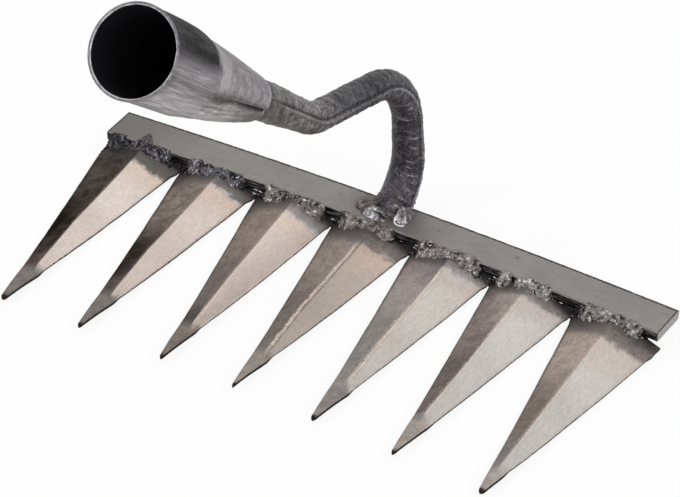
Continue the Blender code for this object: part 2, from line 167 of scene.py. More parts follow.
# Socket tube.
SOCKET_OUTER_RADIUS = 0.017
SOCKET_STRAIGHT = 0.038
SOCKET_TAPER = 0.066
SOCKET_LENGTH = SOCKET_STRAIGHT + SOCKET_TAPER
SOCKET_LIP_WALL = 0.0013
SOCKET_SHOULDER_EASE = 0.25
SOCKET_FOLD_ANGLE = math.radians(-18)
SOCKET_FOLD_TURN = math.radians(-4)
SOCKET_FOLD_UPPER = math.radians(4)
SOCKET_FOLD_LOWER = math.radians(11)
SOCKET_FOLD_DEPTH = 0.0013
SOCKET_FOLD_RUN = 0.030
SOCKET_FOLD_FADE = 0.35
SOCKET_EAR_ANGLE = math.radians(-68)
SOCKET_EAR_SPREAD = math.radians(34)
SOCKET_EAR_BULGE = 0.0009
SOCKET_SIDES = 144
SOCKET_DENT = 0.00028
SOCKET_DENT_SIZE = 0.0085
SOCKET_RIPPLE_SIZE = 0.0028
SOCKET_HAMMER_STARTS = 0.92 * SOCKET_STRAIGHT
SOCKET_HAMMER_RUN = 0.012
SOCKET_STATIONS = 150
SOCKET_BORE_STATIONS = 60
SOCKET_RIM_BEVEL = 0.00012
SOCKET_RIM_WALL = 0.0012
SOCKET_RIM_FLARE = 0.0004
SOCKET_RIM_RUN = 0.005
SOCKET_SHORTER = 0.0014
SOCKET_LOWER = 0.00036
SOCKET_RIGHTWARD = 0.0004
SOCKET_SHOWN_EAR = 0.0036
SOCKET_FLAT_ANGLE = math.radians(68)
SOCKET_FLAT_SPREAD = math.radians(34)
# How far the tube is flattened above and bulges below: distance from the mouth, amount.
SOCKET_FLAT_MM = (
    (0, 0.0), (12, 0.0), (25, 0.4), (36, 1.1), (44, 2.0), (60, 1.4), (72, 0.8), (80, 0.5), (104, 0.4),
)
SOCKET_BELLY_MM = ((60, 0.0), (74, 0.5), (90, 0.5), (98, 0.1), (104, -0.9))
SOCKET_LIP_SHORTER = 0.0014
SOCKET_LIP_EDGE = 0.0012
SOCKET_LIP_THINNER = 0.0003
SOCKET_RIM_CHIPS = 0.0002
SOCKET_NEAR_RIM = (0.0, SOCKET_RIM_BEVEL, 0.0006, 0.0012)
SOCKET_IN_RIM = (0.0007, SOCKET_RIM_BEVEL, 0.0)

# Gooseneck.
NECK_FOOT_RADIUS = 0.0084
NECK_FOOT_LAND = 0.0074
# Corners of the rod's path before it is bent: back and up from the foot, bend radius and rod radius.
NECK_CORNERS = (
    (-0.0781, 0.0930, 0.036, 0.0066),
    (0.0034, 0.0703, 0.046, 0.0067),
    (0.0114, 0.0130, 0.020, 0.0073),
)
NECK_SOCKET_SLOPE = math.radians(40)
NECK_SOCKET_LEG = 0.0607
NECK_TENON = 0.040
NECK_GRIP_RUN = 0.012
NECK_GRIP_RADIUS = 0.0075
NECK_LONG_RIB = 0.0010
NECK_RIB_GROOVE = 0.4
NECK_RIB_STRAY = 0.0017
NECK_RIB_STRAY_SIZE = 0.006
NECK_DENT = 0.00030
NECK_DENT_SIZE = 0.0045
NECK_SCALE = 0.00034
NECK_SCALE_SIZE = 0.0016
NECK_WORN_SIZE = 0.007
NECK_TENON_ROUND = 0.0045
NECK_RIB_SPREAD = 0.088
NECK_RIB_LEAN = 0.0026
NECK_CROSS_RIB = 0.00050
NECK_WORN_RIB = 0.35
NECK_CRISP_ANGLE = math.radians(-40)
NECK_CRISP_SPREAD = math.radians(22)
NECK_CROSS_PITCH = 0.0046
NECK_SIDES = 112
NECK_STEP = 0.00042
NECK_ARCH_FROM_END = 0.112
NECK_ARCH_RUN = 0.040
NECK_ARCH_DROP = 0.0009
NECK_COLUMN_STARTS = 0.100
NECK_COLUMN_RUN = 0.022
NECK_COLUMN_SHIFT = 0.0009
NECK_CRISP_STARTS = 0.104
NECK_THROAT_SWELL = 0.0004
NECK_THROAT_STARTS = 0.041
NECK_THROAT_RISE = 0.004
NECK_THROAT_ENDS = 0.078
NECK_THROAT_FALL = 0.012
NECK_FOOT_SWELL = 0.0004
NECK_FOOT_RUN = 0.030
NECK_BEND_POINTS = 24
# Painted light and shade along the rod, as how bright it is along its length: distance from its end in the
# socket, factor.
ROD_LIGHT_AND_SHADE_MM = (
    (40, 0.70), (52, 1.10), (78, 1.50), (98, 1.36), (118, 1.20), (132, 0.82), (148, 0.62), (165, 0.88),
    (185, 1.50), (205, 1.15), (235, 1.40),
)
ROD_LIGHT_AND_SHADE_END_MM = 250

# Weld beads: where the left one and the right one start and end, in shares of the tine's half width.
WELD_RUNS = (
    (-0.91, -0.48, -0.28, 0.72),
    (-0.82, -0.16, -0.11, 0.66),
    (-0.81, -0.17, 0.04, 0.74),
    (-0.81, -0.42, -0.21, 0.49),
    (-0.85, -0.10, -0.05, 0.72),
    (-0.85, -0.58, -0.35, 0.46),
    (-0.83, 0.11, 0.20, 0.62),
)
# How far the two beads of each tine reach onto the bar.
WELD_ON_BAR = (
    (0.0022, 0.0022), (0.0011, 0.0014), (0.0010, 0.0010), (0.0022, 0.0008),
    (0.0024, 0.0034), (0.0022, 0.0042), (0.0028, 0.0026),
)
WELD_LOW_REACH = 0.0022
WELD_DROP_REACH = 0.0016
WELD_SKIN_STARTS = 0.0008
WELD_SKIN_RUN = 0.0014
WELD_ON_TINE = 0.0048
WELD_CROWN = 0.0006
WELD_SUNK = 0.0006
WELD_THIN = 0.22
WELD_JOINED = 0.62
WELD_OPEN_CREASES = (5,)
WELD_FADE = 0.0032
WELD_VALLEY_STARTS = 0.38
WELD_VALLEY_RUN = 0.14
WELD_STATION = 0.0007
WELD_UNDER_BAR = 0.0030
WELD_BEHIND = 0.0012
WELD_FRONT_GAP = 0.0003
WELD_RAGGED_SIZES = (0.0022, 0.0024, 0.0030)
WELD_DROP_SIZES = (0.0019, 0.0015, 0.0010)
WELD_DROP_BANDS = ((0.05, 0.35), (0.4, 0.65), (0.7, 0.98))  # between the bead's top and its toe
WELD_VOXEL = 0.00023
WELD_ROUGH = 0.00010
WELD_LUMP_SIZE = 0.0021
WELD_CRUST_SIZE = 0.0009
WELD_SPATTER_PITCH = 0.0045
WELD_VALLEY_DROP = (0.0009, 0.0026, 0.0009)
# For each tine's beads: dark, middle, light, which also colours the painted glints, and on the bar from 0 to
# 255, share of bright metal, roughness.
WELD_METALS = (
    ((42, 40, 44), (90, 87, 92), (176, 174, 184), (76, 72, 71), 0.30, 1.0),
    ((38, 37, 40), (88, 86, 90), (196, 196, 202), (104, 101, 101), 0.36, 1.0),
    ((48, 45, 44), (106, 101, 98), (206, 203, 201), (112, 107, 104), 0.42, 1.0),
    ((88, 82, 79), (122, 115, 111), (190, 183, 178), (124, 116, 112), 0.40, 0.4),
    ((60, 56, 55), (116, 111, 107), (212, 208, 205), (128, 122, 118), 0.46, 0.7),
    ((58, 55, 55), (122, 118, 115), (222, 219, 217), (128, 124, 121), 0.50, 0.7),
    ((60, 57, 57), (118, 115, 113), (220, 218, 216), (122, 119, 117), 0.44, 1.0),
)
# The bead's outline from its middle to the bar and to the tine: share of its reach, share of its height.
WELD_BAR_PROFILE = ((1.0, 0.0), (0.8, 0.6), (0.1, 1.0))
WELD_TINE_PROFILE = ((0.45, 0.9), (0.85, 0.6), (1.0, 0.0))
# The three-cornered scale on the bar over tine 1, from the tine's root.
WELD_PEAK = (
    (-0.0022, 0.0080), (-0.0008, 0.0074), (0.0036, 0.0009),
    (-0.0002, -0.0016), (-0.0044, -0.0014), (-0.0037, 0.0030),
)
WELD_PEAK_HEIGHT = 0.0007
WELD_CORNER_DARKER = 0.24
# Drops at the corner of tine 1: x, y and size.
WELD_CORNER = ((-0.0196, -0.0010, 0.0012), (-0.0200, -0.0034, 0.0011), (-0.0199, -0.0058, 0.0010))
VALLEY = TINE_PITCH / 2
NECK_WELD_LEG = 0.0020
NECK_WELD_RISE = 0.0030
NECK_WELD_DROP = 0.0040
NECK_WELD_CORE = 0.86
NECK_WELD_DROPS = 14
NECK_WELD_SEED = 21
NECK_WELD_VOXEL = 0.00028
NECK_WELD_ROUGH = 0.00009
# Lobes at the front of the rod's foot: middle from the foot, half sizes and turn.
NECK_LOBES = (
    ((-0.0029, -0.0142, -0.0002), (0.0068, 0.0031, 0.0019), -0.12),
    ((-0.0086, -0.0086, -0.0004), (0.0062, 0.0054, 0.0022), 0.30),
    ((-0.0052, -0.0096, 0.0000), (0.0044, 0.0036, 0.0030), 0.30),
)
# Corners of the wedge at the right of the foot, and its ridge, past which its face is painted in shade:
# direction and distance in mm.
NECK_WEDGE = (
    (0.0064, -0.0060, 0.0046), (0.0076, -0.0010, 0.0026), (0.0063, -0.0124, 0.0006), (0.0110, -0.0142, 0.0),
    (0.0134, -0.0106, 0.0), (0.0132, -0.0034, 0.0), (0.0104, -0.0086, 0.0030), (0.0078, -0.0086, 0.0034),
    (0.0060, -0.0060, -0.0006), (0.0108, -0.0130, -0.0006), (0.0130, -0.0050, -0.0006),
)
NECK_WEDGE_RIDGE = (0.823, 0.568, 3.74)
# The line of drops at the foot of the wedge, which carries a painted highlight.
NECK_CRESCENT = (
    (0.0068, -0.0116), (0.0072, -0.0130), (0.0082, -0.0142),
    (0.0096, -0.0148), (0.0111, -0.0147), (0.0123, -0.0140),
)
NECK_CRESCENT_SIZE = 0.0006
NECK_CRESCENT_DROPS = 26
# The ring of painted shade in the crevice around the rod's foot.
NECK_CREVICE = (1.03, 1.12)  # from and to, as shares of the rod's foot
NECK_SILVER = ((-0.0029, -0.0142, 0.0008, 5.4), (0.0100, -0.0080, 0.0010, 7.4))  # place, reach in mm

# Stage.
WHITE = (1, 1, 1, 1)
FLOOR_COLOUR = (0.85, 0.85, 0.85, 1)
FLOOR_SIZE = 8.0
FLOOR_CLEARANCE = 0.0001
FLOOR_GLOW = 1.05
FLOOR_GLOW_SHARE = 0.82
WORLD_LIGHT = 0.72
LAMP_AIM = Vector((0, 0.03, 0.05))
LAMPS = (  # direction, distance, size and radiance
    ("key", (0.155, 0.688, 0.709), 2.2, 1.5, 0.22),
    ("fill", (0.75, -0.55, 0.75), 1.4, 0.7, 0.9),
    ("front_glint", (-0.50, -0.50, 0.70), 1.4, 0.18, 14.0),
    ("side_glint", (0.85, -0.20, 0.45), 1.4, 0.18, 9.0),
)

# Camera, at the photograph's place.
CAMERA_PLACE = (0.375984, -0.649309, 0.650102)
CAMERA_RIGHT = Vector((0.8704901, 0.4915466, 0.0250776))
CAMERA_DOWN = Vector((0.3240720, -0.5340680, -0.7808640))
CAMERA_FORWARD = Vector((-0.3704379, 0.6878614, -0.6241975))
CAMERA_LENS = 123.22

# Places of the frame.
bar_low, bar_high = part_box("tine_bar")
BAR_PLACE = Vector((0, bar_low.y + BAR_BOW, bar_high.z))
SOCKET_INWARD = Vector((0, math.cos(NECK_SOCKET_SLOPE), -math.sin(NECK_SOCKET_SLOPE)))
SOCKET_UPWARD = Vector((0, math.sin(NECK_SOCKET_SLOPE), math.cos(NECK_SOCKET_SLOPE)))
NECK_HEEL = Vector((0, NECK_CORNERS[2][0], NECK_CORNERS[2][1]))
NECK_LEAN = NECK_HEEL.normalized()
NECK_FOOT_LENGTH = NECK_FOOT_RADIUS / NECK_LEAN.z
NECK_FOOT = BAR_PLACE + Vector((0, NECK_FOOT_LAND + NECK_FOOT_LENGTH, 0))
NECK_THROAT = NECK_FOOT + Vector((0, NECK_CORNERS[0][0], NECK_CORNERS[0][1]))
SOCKET_LIP = NECK_THROAT - SOCKET_INWARD * NECK_SOCKET_LEG
SOCKET_MOUTH = SOCKET_LIP - SOCKET_INWARD * SOCKET_LENGTH
SOCKET_LIP_RADIUS = NECK_GRIP_RADIUS + CLEARANCE + SOCKET_LIP_WALL
SHOWN_MOUTH = SOCKET_MOUTH + SOCKET_INWARD * SOCKET_SHORTER - SOCKET_UPWARD * SOCKET_LOWER
SHOWN_MOUTH += Vector((SOCKET_RIGHTWARD, 0, 0))
SHOWN_INWARD = (SOCKET_LIP - SHOWN_MOUTH).normalized()
SHOWN_UPWARD = Vector((1, 0, 0)).cross(SHOWN_INWARD).normalized()
SHOWN_STRETCH = ((SOCKET_LIP - SHOWN_MOUTH).length - SOCKET_LIP_SHORTER) / SOCKET_LENGTH


def srgb(red, green, blue):
    """A screen colour from 0 to 255 as the linear numbers that a shader takes."""
    linear = []
    for value in (red, green, blue):
        share = value / 255
        linear.append(share / 12.92 if share <= 0.04045 else ((share + 0.055) / 1.055) ** 2.4)
    return (*linear, 1.0)


def smooth_step(value):
    value = np.clip(value, 0.0, 1.0)
    return value * value * (3 - 2 * value)


def hump(value, middle, reach):
    """1 in the middle and smoothly less to both sides."""
    return np.exp(-(((value - middle) / reach) ** 2))


def between(pair, share):
    return pair[0] + (pair[1] - pair[0]) * share


def rough_at(points, size, seed, octaves):
    """Smooth noise from about -1 to 1 at an array of points, with features of the given size."""
    shift = Vector((seed * 3.7, seed * -5.1, seed * 2.3))
    values = [noise.fractal(Vector(point) / size + shift, 1.0, 2.0, octaves) for point in points]
    return np.array(values)


def wobble(places, size, seed):
    """The same noise along a line."""
    return np.array([noise.noise(Vector((place / size, seed * 1.7, seed * -2.9))) for place in places])


class Value:
    """What a node gives out at each point of a piece, with the sums that materials need."""

    def __init__(self, graph, socket):
        self.graph = graph
        self.socket = socket

    def __add__(self, other):
        return self.graph.calc("ADD", self, other)

    def __sub__(self, other):
        return self.graph.calc("SUBTRACT", self, other)

    def __mul__(self, other):
        return self.graph.calc("MULTIPLY", self, other)

    def __abs__(self):
        return self.graph.calc("ABSOLUTE", self)

    def span(self, low, high, start=0.0, end=1.0):
        """Its smooth way from start to end while it goes from low to high."""
        inputs = {"Value": self, "From Min": low, "From Max": high, "To Min": start, "To Max": end}
        return self.graph.value("ShaderNodeMapRange", "Result", inputs, interpolation_type="SMOOTHSTEP")

    def ragged(self, texture, reach, low=0.3):
        """The number with a texture added, so that borders drawn from it wander by at most reach."""
        return self + texture.span(low, 1 - low, -reach, reach)


class Colour(Value):
    """A colour of nodes. The methods here change it in place."""

    def copy(self):
        return Colour(self.graph, self.socket)

    def cover(self, colour, *shares):
        """Lays a colour over it by the product of the shares. A plain colour runs from 0 to 255."""
        over = colour if isinstance(colour, Value) else srgb(*colour)
        self.socket = self.graph.mix("MIX", reduce(mul, shares), self, over).socket

    def shade(self, factor):
        """Makes it lighter or darker by a factor around 1."""
        self.socket = self.graph.mix("MULTIPLY", 1.0, self, factor).socket


class Graph:
    """The nodes of their owner, which is a new material or world."""

    def __init__(self, owner):
        owner.use_nodes = True
        self.owner = owner
        self.tree = owner.node_tree

    def value(self, kind, output, inputs=None, **settings):
        """What a new node gives out when values or plain numbers are put into it."""
        node = self.tree.nodes.new(kind)
        for key, setting in settings.items():
            setattr(node, key, setting)
        for key, given in (inputs or {}).items():
            if isinstance(given, Value):
                self.tree.links.new(given.socket, node.inputs[key])
            else:
                node.inputs[key].default_value = given
        return Value(self, node.outputs[output])

    def place(self, stretch=(1.0, 1.0, 1.0), shift=(0.0, 0.0, 0.0)):
        """The place on the piece in millimetres, stretched so that noise comes out long or short."""
        here = self.value("ShaderNodeTexCoord", "Object")
        inputs = {"Vector": here, "Scale": [share / MM for share in stretch], "Location": shift}
        return self.value("ShaderNodeMapping", "Vector", inputs)

    def noise(self, vector, scale, detail, roughness=0.55, distortion=0.0):
        """Cloudy noise between 0 and 1, with clouds of about 1 / scale."""
        inputs = {"Vector": vector, "Scale": scale, "Detail": detail, "Roughness": roughness}
        inputs["Distortion"] = distortion
        return self.value("ShaderNodeTexNoise", "Fac", inputs)

    def read(self, name):
        """A number that the mesh holds at each point."""
        return self.value("ShaderNodeAttribute", "Fac", attribute_name=name)

    def calc(self, operation, first, second=0.0, clamp=False):
        return self.value("ShaderNodeMath", 0, {0: first, 1: second}, operation=operation, use_clamp=clamp)

    def vector(self, operation, first, second=(0.0, 0.0, 0.0)):
        """A number that comes out of vectors, such as the distance between two."""
        return self.value("ShaderNodeVectorMath", "Value", {0: first, 1: second}, operation=operation)

    def mix(self, kind, factor, first, second):
        """Two colours blended (MIX) or multiplied (MULTIPLY)."""
        inputs = {"Factor": factor, 6: first, 7: second}
        return self.value("ShaderNodeMix", 2, inputs, data_type="RGBA", blend_type=kind)

    def ramp(self, value, *stops):
        """A colour that follows a value from stop to stop: each is a place and a colour from 0 to 255."""
        return self.linear_ramp(value, [(place, srgb(*colour)) for place, *colour in stops])

    def linear_ramp(self, value, stops):
        """The same with linear colours, which can be brighter than white."""
        ramp = self.value("ShaderNodeValToRGB", "Color", {"Fac": value})
        elements = ramp.socket.node.color_ramp.elements
        while len(elements) < len(stops):
            elements.new(0.5)
        for element, (place, colour) in zip(elements, stops):
            element.position = place
            element.color = colour
        return Colour(self, ramp.socket)

    def bump(self, height, distance_mm, strength):
        inputs = {"Height": height, "Distance": distance_mm * MM, "Strength": strength}
        return self.value("ShaderNodeBump", "Normal", inputs)

    def finish(self, colour, roughness, metallic, normal, tint=1.0):
        shader = self.tree.nodes["Principled BSDF"]
        inputs = {"Base Color": colour, "Roughness": roughness, "Metallic": metallic, "Normal": normal}
        for key, value in inputs.items():
            self.tree.links.new(value.socket, shader.inputs[key])
        shader.inputs["Specular Tint"].default_value = (tint, tint, tint, 1.0)
        return self.owner


def add_object(name, data):
    made = bpy.data.objects.new(name, data)
    bpy.context.scene.collection.objects.link(made)
    return made


def new_piece(name, mesh, material, nodes):
    """Adds a finished mesh that stands for CAD nodes and moves with the head."""
    piece = add_object(name, mesh)
    mesh.materials.append(material)
    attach(piece, BODY)
    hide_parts(*nodes)


def hold_values(mesh, values):
    """Gives a mesh the numbers that its material reads at each point."""
    for name, array in values.items():
        layer = mesh.attributes.new(name, "FLOAT", "POINT")
        layer.data.foreach_set("value", np.asarray(array, np.float32).ravel())


def cut_flat(bm, height):
    """Cuts off what lies below a height and closes the cut."""
    everything = bm.verts[:] + bm.edges[:] + bm.faces[:]
    plane = {"plane_co": (0, 0, height), "plane_no": (0, 0, -1), "clear_outer": True}
    cut = bmesh.ops.bisect_plane(bm, geom=everything, **plane)
    rim = [item for item in cut["geom_cut"] if isinstance(item, bmesh.types.BMEdge)]
    bmesh.ops.contextual_create(bm, geom=rim)


def spokes(angle, up):
    """Directions around a tube that runs square to X and up."""
    return np.outer(np.cos(angle), (1.0, 0, 0)) + np.outer(np.sin(angle), up)


def ring_mesh(name, rings, values, closed=False, crease_angle=40, cut_height=None):
    """A surface over rings of points, with its ends capped unless it closes on itself."""
    rings = np.asarray(rings, float)
    count, sides = rings.shape[:2]
    faces = []
    for near in range(count if closed else count - 1):
        far = (near + 1) % count
        for i in range(sides):
            j = (i + 1) % sides
            faces.append((near * sides + i, near * sides + j, far * sides + j, far * sides + i))
    if not closed:
        faces.append(tuple(range(sides)))
        faces.append(tuple((count - 1) * sides + i for i in reversed(range(sides))))
    mesh = bpy.data.meshes.new(name)
    mesh.from_pydata(rings.reshape(-1, 3).tolist(), [], faces)
    hold_values(mesh, values)
    bm = bmesh.new()
    bm.from_mesh(mesh)
    if cut_height is not None:
        cut_flat(bm, cut_height)
    bmesh.ops.recalc_face_normals(bm, faces=bm.faces)
    bm.to_mesh(mesh)
    bm.free()
    mesh.shade_smooth()
    mesh.set_sharp_from_angle(angle=math.radians(crease_angle))
    return mesh


def bow_at(x):
    return -BAR_BOW * (x / BAR_HALF_LENGTH) ** 2


def bow_slope(x):
    return -2 * BAR_BOW * x / BAR_HALF_LENGTH**2


def tine_x(index):
    return (index - (TINE_COUNT - 1) / 2) * TINE_PITCH


def tine_placement(index):
    """Stands a tine square to the bowed bar."""
    x = tine_x(index)
    turn = math.atan(bow_slope(x))
    return Matrix.Translation(BAR_PLACE + Vector((x, bow_at(x), 0))) @ Matrix.Rotation(turn, 4, "Z")


def placed(points, matrix):
    matrix = np.array(matrix)
    return np.asarray(points) @ matrix[:3, :3].T + matrix[:3, 3]


# Bar.
def bar_section():
    """The bar's cross-section with round edges, as (across, up) points from its top front edge."""
    radius = BAR_EDGE_RADIUS
    corners = (
        (radius, -radius, 90),
        (radius, radius - BAR_THICKNESS, 180),
        (BAR_WIDTH - radius, radius - BAR_THICKNESS, 270),
        (BAR_WIDTH - radius, -radius, 0),
    )
    points = []
    for across, up, start in corners:
        for turn in np.linspace(0, 90, BAR_CORNER_TURNS + 1):
            angle = math.radians(start + turn)
            points.append((across + radius * math.cos(angle), up + radius * math.sin(angle)))
    back, front = points[-1][0], points[0][0]
    for share in np.linspace(0, 1, BAR_ACROSS + 1)[1:-1]:
        points.append((between((back, front), share), 0.0))
    return np.array(points)


def heat_near_welds(points):
    """How much weld heat has tinted each point of the bar, from 0 to 1."""
    heat = np.zeros(len(points))
    for place, reach in BAR_HEAT_SPOTS:
        distance = np.linalg.norm(points[:, :2] - np.array(NECK_FOOT + Vector(place))[:2], axis=1)
        heat = np.maximum(heat, hump(distance, 0, reach))
    return heat


def bar_mesh():
    section = bar_section()
    across, up = section.T
    rings = []
    ends = []
    for x in np.linspace(-BAR_SHOWN_LEFT, BAR_SHOWN_RIGHT, BAR_STATIONS + 1):
        slant = BAR_RIGHT_SLANT * max(0.0, x / BAR_SHOWN_RIGHT) ** 20
        slice_x = x - slant * (1 - across / BAR_WIDTH)
        rings.append(np.stack([slice_x, bow_at(x) + across, up], axis=1))
        ends.append(min(BAR_SHOWN_RIGHT - x, x + BAR_SHOWN_LEFT) / MM)
    rings = np.array(rings)
    count, sides = rings.shape[:2]
    dents = rough_at(rings.reshape(-1, 3), BAR_DENT_SIZE, seed=1, octaves=2).reshape(count, sides)
    nicks = rough_at(rings.reshape(-1, 3), BAR_NICK_SIZE, seed=2, octaves=2).reshape(count, sides)
    at_edge = (up < -1e-6) & (up > -BAR_EDGE_RADIUS * 1.2)
    inward = np.where(at_edge, 1.0, BAR_NICKS_OFF_EDGE) * np.minimum(nicks, 0.15) * BAR_NICK
    inward += (dents - 1) * BAR_DENT
    pull = section - np.array((BAR_WIDTH / 2, -BAR_THICKNESS / 2))
    pull /= np.linalg.norm(pull, axis=1)[:, None]
    rings[:, :, 1:] += pull * inward[:, :, None]
    values = {
        "across": np.tile(across / MM, (count, 1)),
        "up": np.tile(up / MM, (count, 1)),
        "end": np.repeat(np.array(ends)[:, None], sides, axis=1),
        "run": rings[:, :, 0] / MM,
        "scorch": heat_near_welds(rings.reshape(-1, 3) + np.array(BAR_PLACE)),
    }
    return ring_mesh("tine_bar_fine", rings + np.array(BAR_PLACE), values)


def bar_steel():
    g = Graph(bpy.data.materials.new("bar_steel"))
    place = g.place()
    broad = g.noise(place, 0.06, 3)
    coarse = g.noise(place, 0.25, 4)
    fine = g.noise(place, 0.9, 4)
    drawn = g.noise(g.place((0.12, 0.8, 0.8)), 1.0, 4)
    streaks = g.noise(g.place((0.16, 1.0, 1.5)), 1.0, 3)
    across = g.read("across")
    up = g.read("up")
    end = g.read("end")
    colour = g.ramp(broad, (0.3, 137, 133, 130), (0.7, 147, 143, 139))
    colour.cover((118, 114, 111), coarse.span(0.4, 0.75, 0.0, 0.18))
    colour.cover((112, 109, 106), drawn.span(0.45, 0.75, 0.0, 0.16))
    colour.cover((164, 160, 156), drawn.span(0.45, 0.25, 0.0, 0.14))
    colour.cover((108, 104, 102), g.read("run").span(-85.0, -138.0, 0.0, 0.70))
    colour.cover((92, 80, 76), g.read("scorch"), fine.span(0.2, 0.7, 0.5, 1.1))
    for x, y, size in BAR_SPOTS_MM:
        apart = g.vector("DISTANCE", place, (x, y, BAR_PLACE.z / MM)).ragged(fine, 0.3)
        colour.cover((88, 84, 81), apart.span(size, size * 0.45), up.span(-0.5, -0.1), 0.45)
    # Painted shade along the rounded back edge.
    back_edge_shade = across.ragged(fine, 0.22).span(17.1, 17.8)
    colour.cover((58, 56, 55), back_edge_shade, fine.span(0.25, 0.55, 0.7, 1.0), up.span(-1.4, -0.7))
    # Painted shade along the rounded edges at the bar's ends.
    colour.cover((62, 58, 57), end.ragged(fine, 0.2).span(1.0, 0.5), fine.span(0.3, 0.55, 0.6, 1.0))
    # The front face, painted near black as shade over scorched scale, with painted highlight streaks along
    # it.
    front_shade_and_scale = g.ramp(streaks, (0.42, 20, 19, 20), (0.52, 46, 44, 45), (0.62, 132, 129, 132))
    colour.cover(front_shade_and_scale, up.span(-0.35, -0.7), across.span(1.5, 0.8))
    # A painted highlight along the rounded front edge.
    colour.cover((120, 117, 115), across.span(0.75, 0.45), up.span(-0.55, -0.35), fine.span(0.35, 0.6))
    colour.cover((166, 162, 161), end.span(0.06, 0.01), fine.span(0.3, 0.5, 0.6, 0.9))
    roughness = fine.span(0.2, 0.8, 0.40, 0.54)
    metallic = up.span(-0.5, -0.1, 0.7, 0.95)
    return g.finish(colour, roughness, metallic, g.bump(drawn * 0.4 + fine * 0.5, 0.03, 0.6))


# Tines.
def plain_half_width(distance):
    """Half the width of an even tine that runs out straight."""
    taper = max(0.0, (distance - TINE_ROOT_LAND) / (TINE_REACH - TINE_ROOT_LAND))
    return between((TINE_HALF_WIDTH, TINE_TIP_WIDTH / 2), taper)


def blunt_share(left):
    """The share of its width that a tine has where a share of its round point is left."""
    return max(TINE_TIP_BLUNT, math.sqrt(1 - (1 - min(max(left, 0.0), 1.0)) ** 2))


def tine_half_width(distance):
    return plain_half_width(distance) * blunt_share((TINE_REACH - distance) / TINE_TIP_ROUND)


def tine_fold_at(distance):
    """The fold's angle, which fades out to a flat point."""
    return TINE_FOLD * smooth_step((TINE_REACH - distance) / TINE_TIP_FLAT * 0.95)


def tine_ridge_height(distance):
    run = distance / TINE_REACH
    return between((TINE_RIDGE_RISE, TINE_TIP_LIFT - WING_DROP), run) - 4 * TINE_SAG * run * (1 - run)


def tine_sides(tine, distance):
    """The places of a tine's left and right edges."""
    run = distance / TINE_REACH
    eased = smooth_step((distance - TINE_SHAPE_STARTS) / TINE_SHAPE_RUN)
    half = plain_half_width(distance) - between(tine.trim, run) * MM * eased
    half *= blunt_share((TINE_SHOWN_REACH - distance) / (TINE_TIP_ROUND * 0.6))
    middle = between(tine.shift, run) * MM * eased
    corner = tine.wide_root * MM * (1 - smooth_step(distance / TINE_CORNER_RUN))
    return middle - half, middle + half + corner


def tine_roof(tine, distance, left, right):
    """The upper face of one slice: at an x, its height and how steeply it falls away from the crease."""
    half = tine_half_width(distance)
    edge = tine_ridge_height(distance) - half * math.tan(tine_fold_at(distance))
    fold_end = TINE_FOLD_ENDS + tine.late_fold * MM
    fall = half * math.tan(TINE_FOLD) * (1 - smooth_step((distance - fold_end) / TINE_FOLD_RUN))
    crease = np.interp(distance / MM, TINE_CREASE_MARKS_MM, tine.crease) * MM
    crease = min(max(crease, between((left, right), 0.2)), between((left, right), 0.8))

    def face(x):
        slope = fall / (right - crease if x > crease else crease - left)
        soft = math.hypot(x - crease, TINE_CREASE_SOFTNESS)
        lean = math.atan(slope * (x - crease) / soft)
        point = Vector((x, edge + fall - slope * (soft - TINE_CREASE_SOFTNESS)))
        return point, Vector((math.sin(lean), math.cos(lean))), lean

    return face, crease


def tine_section(tine, distance, wave_left, wave_right):
    """One slice of the folded plate: its points, and what the material reads at each of them."""
    left, right = tine_sides(tine, distance)
    face, crease = tine_roof(tine, distance, left, right)
    grow = min(1.0, (right - left) / TINE_NARROW)
    left += wave_left * grow
    right += wave_right * grow
    bevel = min(TINE_EDGE_BEVEL, (right - left) / 8)
    ring = []
    rows = []

    def add(x, depth, under):
        point, normal, lean = face(x)
        point -= normal * depth
        ring.append((point.x, -distance, point.y))
        edge = min(x - left, right - x) / math.cos(TINE_FOLD)
        across = (x - crease) / MM
        scorch = distance / MM / between(tine.heat, abs(across) * MM / TINE_HALF_WIDTH)
        rows.append((distance / MM, across, lean / TINE_FOLD, edge / MM, under, scorch))

    for share in np.linspace(-1, 1, TINE_TOP_COLUMNS):
        reach = right - bevel - crease if share > 0 else crease - left - bevel
        add(crease + share * abs(share) ** 0.5 * reach, 0.0, 0.0)
    add(right, bevel, 0.5)
    add(right, TINE_PLATE - bevel, 0.5)
    for share in np.linspace(1, 0, TINE_UNDER_COLUMNS):
        add(between((left + bevel, right - bevel), share), TINE_PLATE, 1.0)
    add(left, TINE_PLATE - bevel, 0.5)
    add(left, bevel, 0.5)
    return ring, rows


def tine_stations():
    point = 2 * TINE_TIP_ROUND
    body = np.linspace(TINE_SETBACK, TINE_SHOWN_REACH - point, TINE_STATIONS)
    turns = np.linspace(0, math.pi / 2, TINE_POINT_STATIONS)[1:]
    return np.concatenate((body, TINE_SHOWN_REACH - point * np.cos(turns)))


def tine_mesh(index):
    stations = tine_stations()
    waves = [
        sum(wobble(stations, size, seed + more) * height for size, height, more in TINE_EDGE_WAVES)
        for seed in (3 + index, 31 + index)
    ]
    rings = []
    rows = []
    for distance, wave_left, wave_right in zip(stations, *waves):
        ring, ring_rows = tine_section(TINES[index], distance, wave_left, wave_right)
        rings.append(ring)
        rows += ring_rows
    rings = np.array(rings)
    flat = rings.reshape(-1, 3)
    dents = rough_at(flat * (1.0, 1.0, 0.0), TINE_DENT_SIZE, seed=40 + index, octaves=2)
    fade = smooth_step(-flat[:, 1] / TINE_DENT_FADE) * smooth_step((TINE_REACH + flat[:, 1]) / TINE_DENT_FADE)
    flat[:, 2] += dents * TINE_DENT * fade
    rings = placed(flat, tine_placement(index)).reshape(rings.shape)
    values = dict(zip(("along", "across", "facet", "edge", "under", "scorch"), np.transpose(rows)))
    return ring_mesh(f"tine_{index + 1}_fine", rings, values, crease_angle=50)


def off_grey(grey, colour, share):
    """The colour on the way from a grey to another colour."""
    return [between((grey, tone), share) for tone in colour]


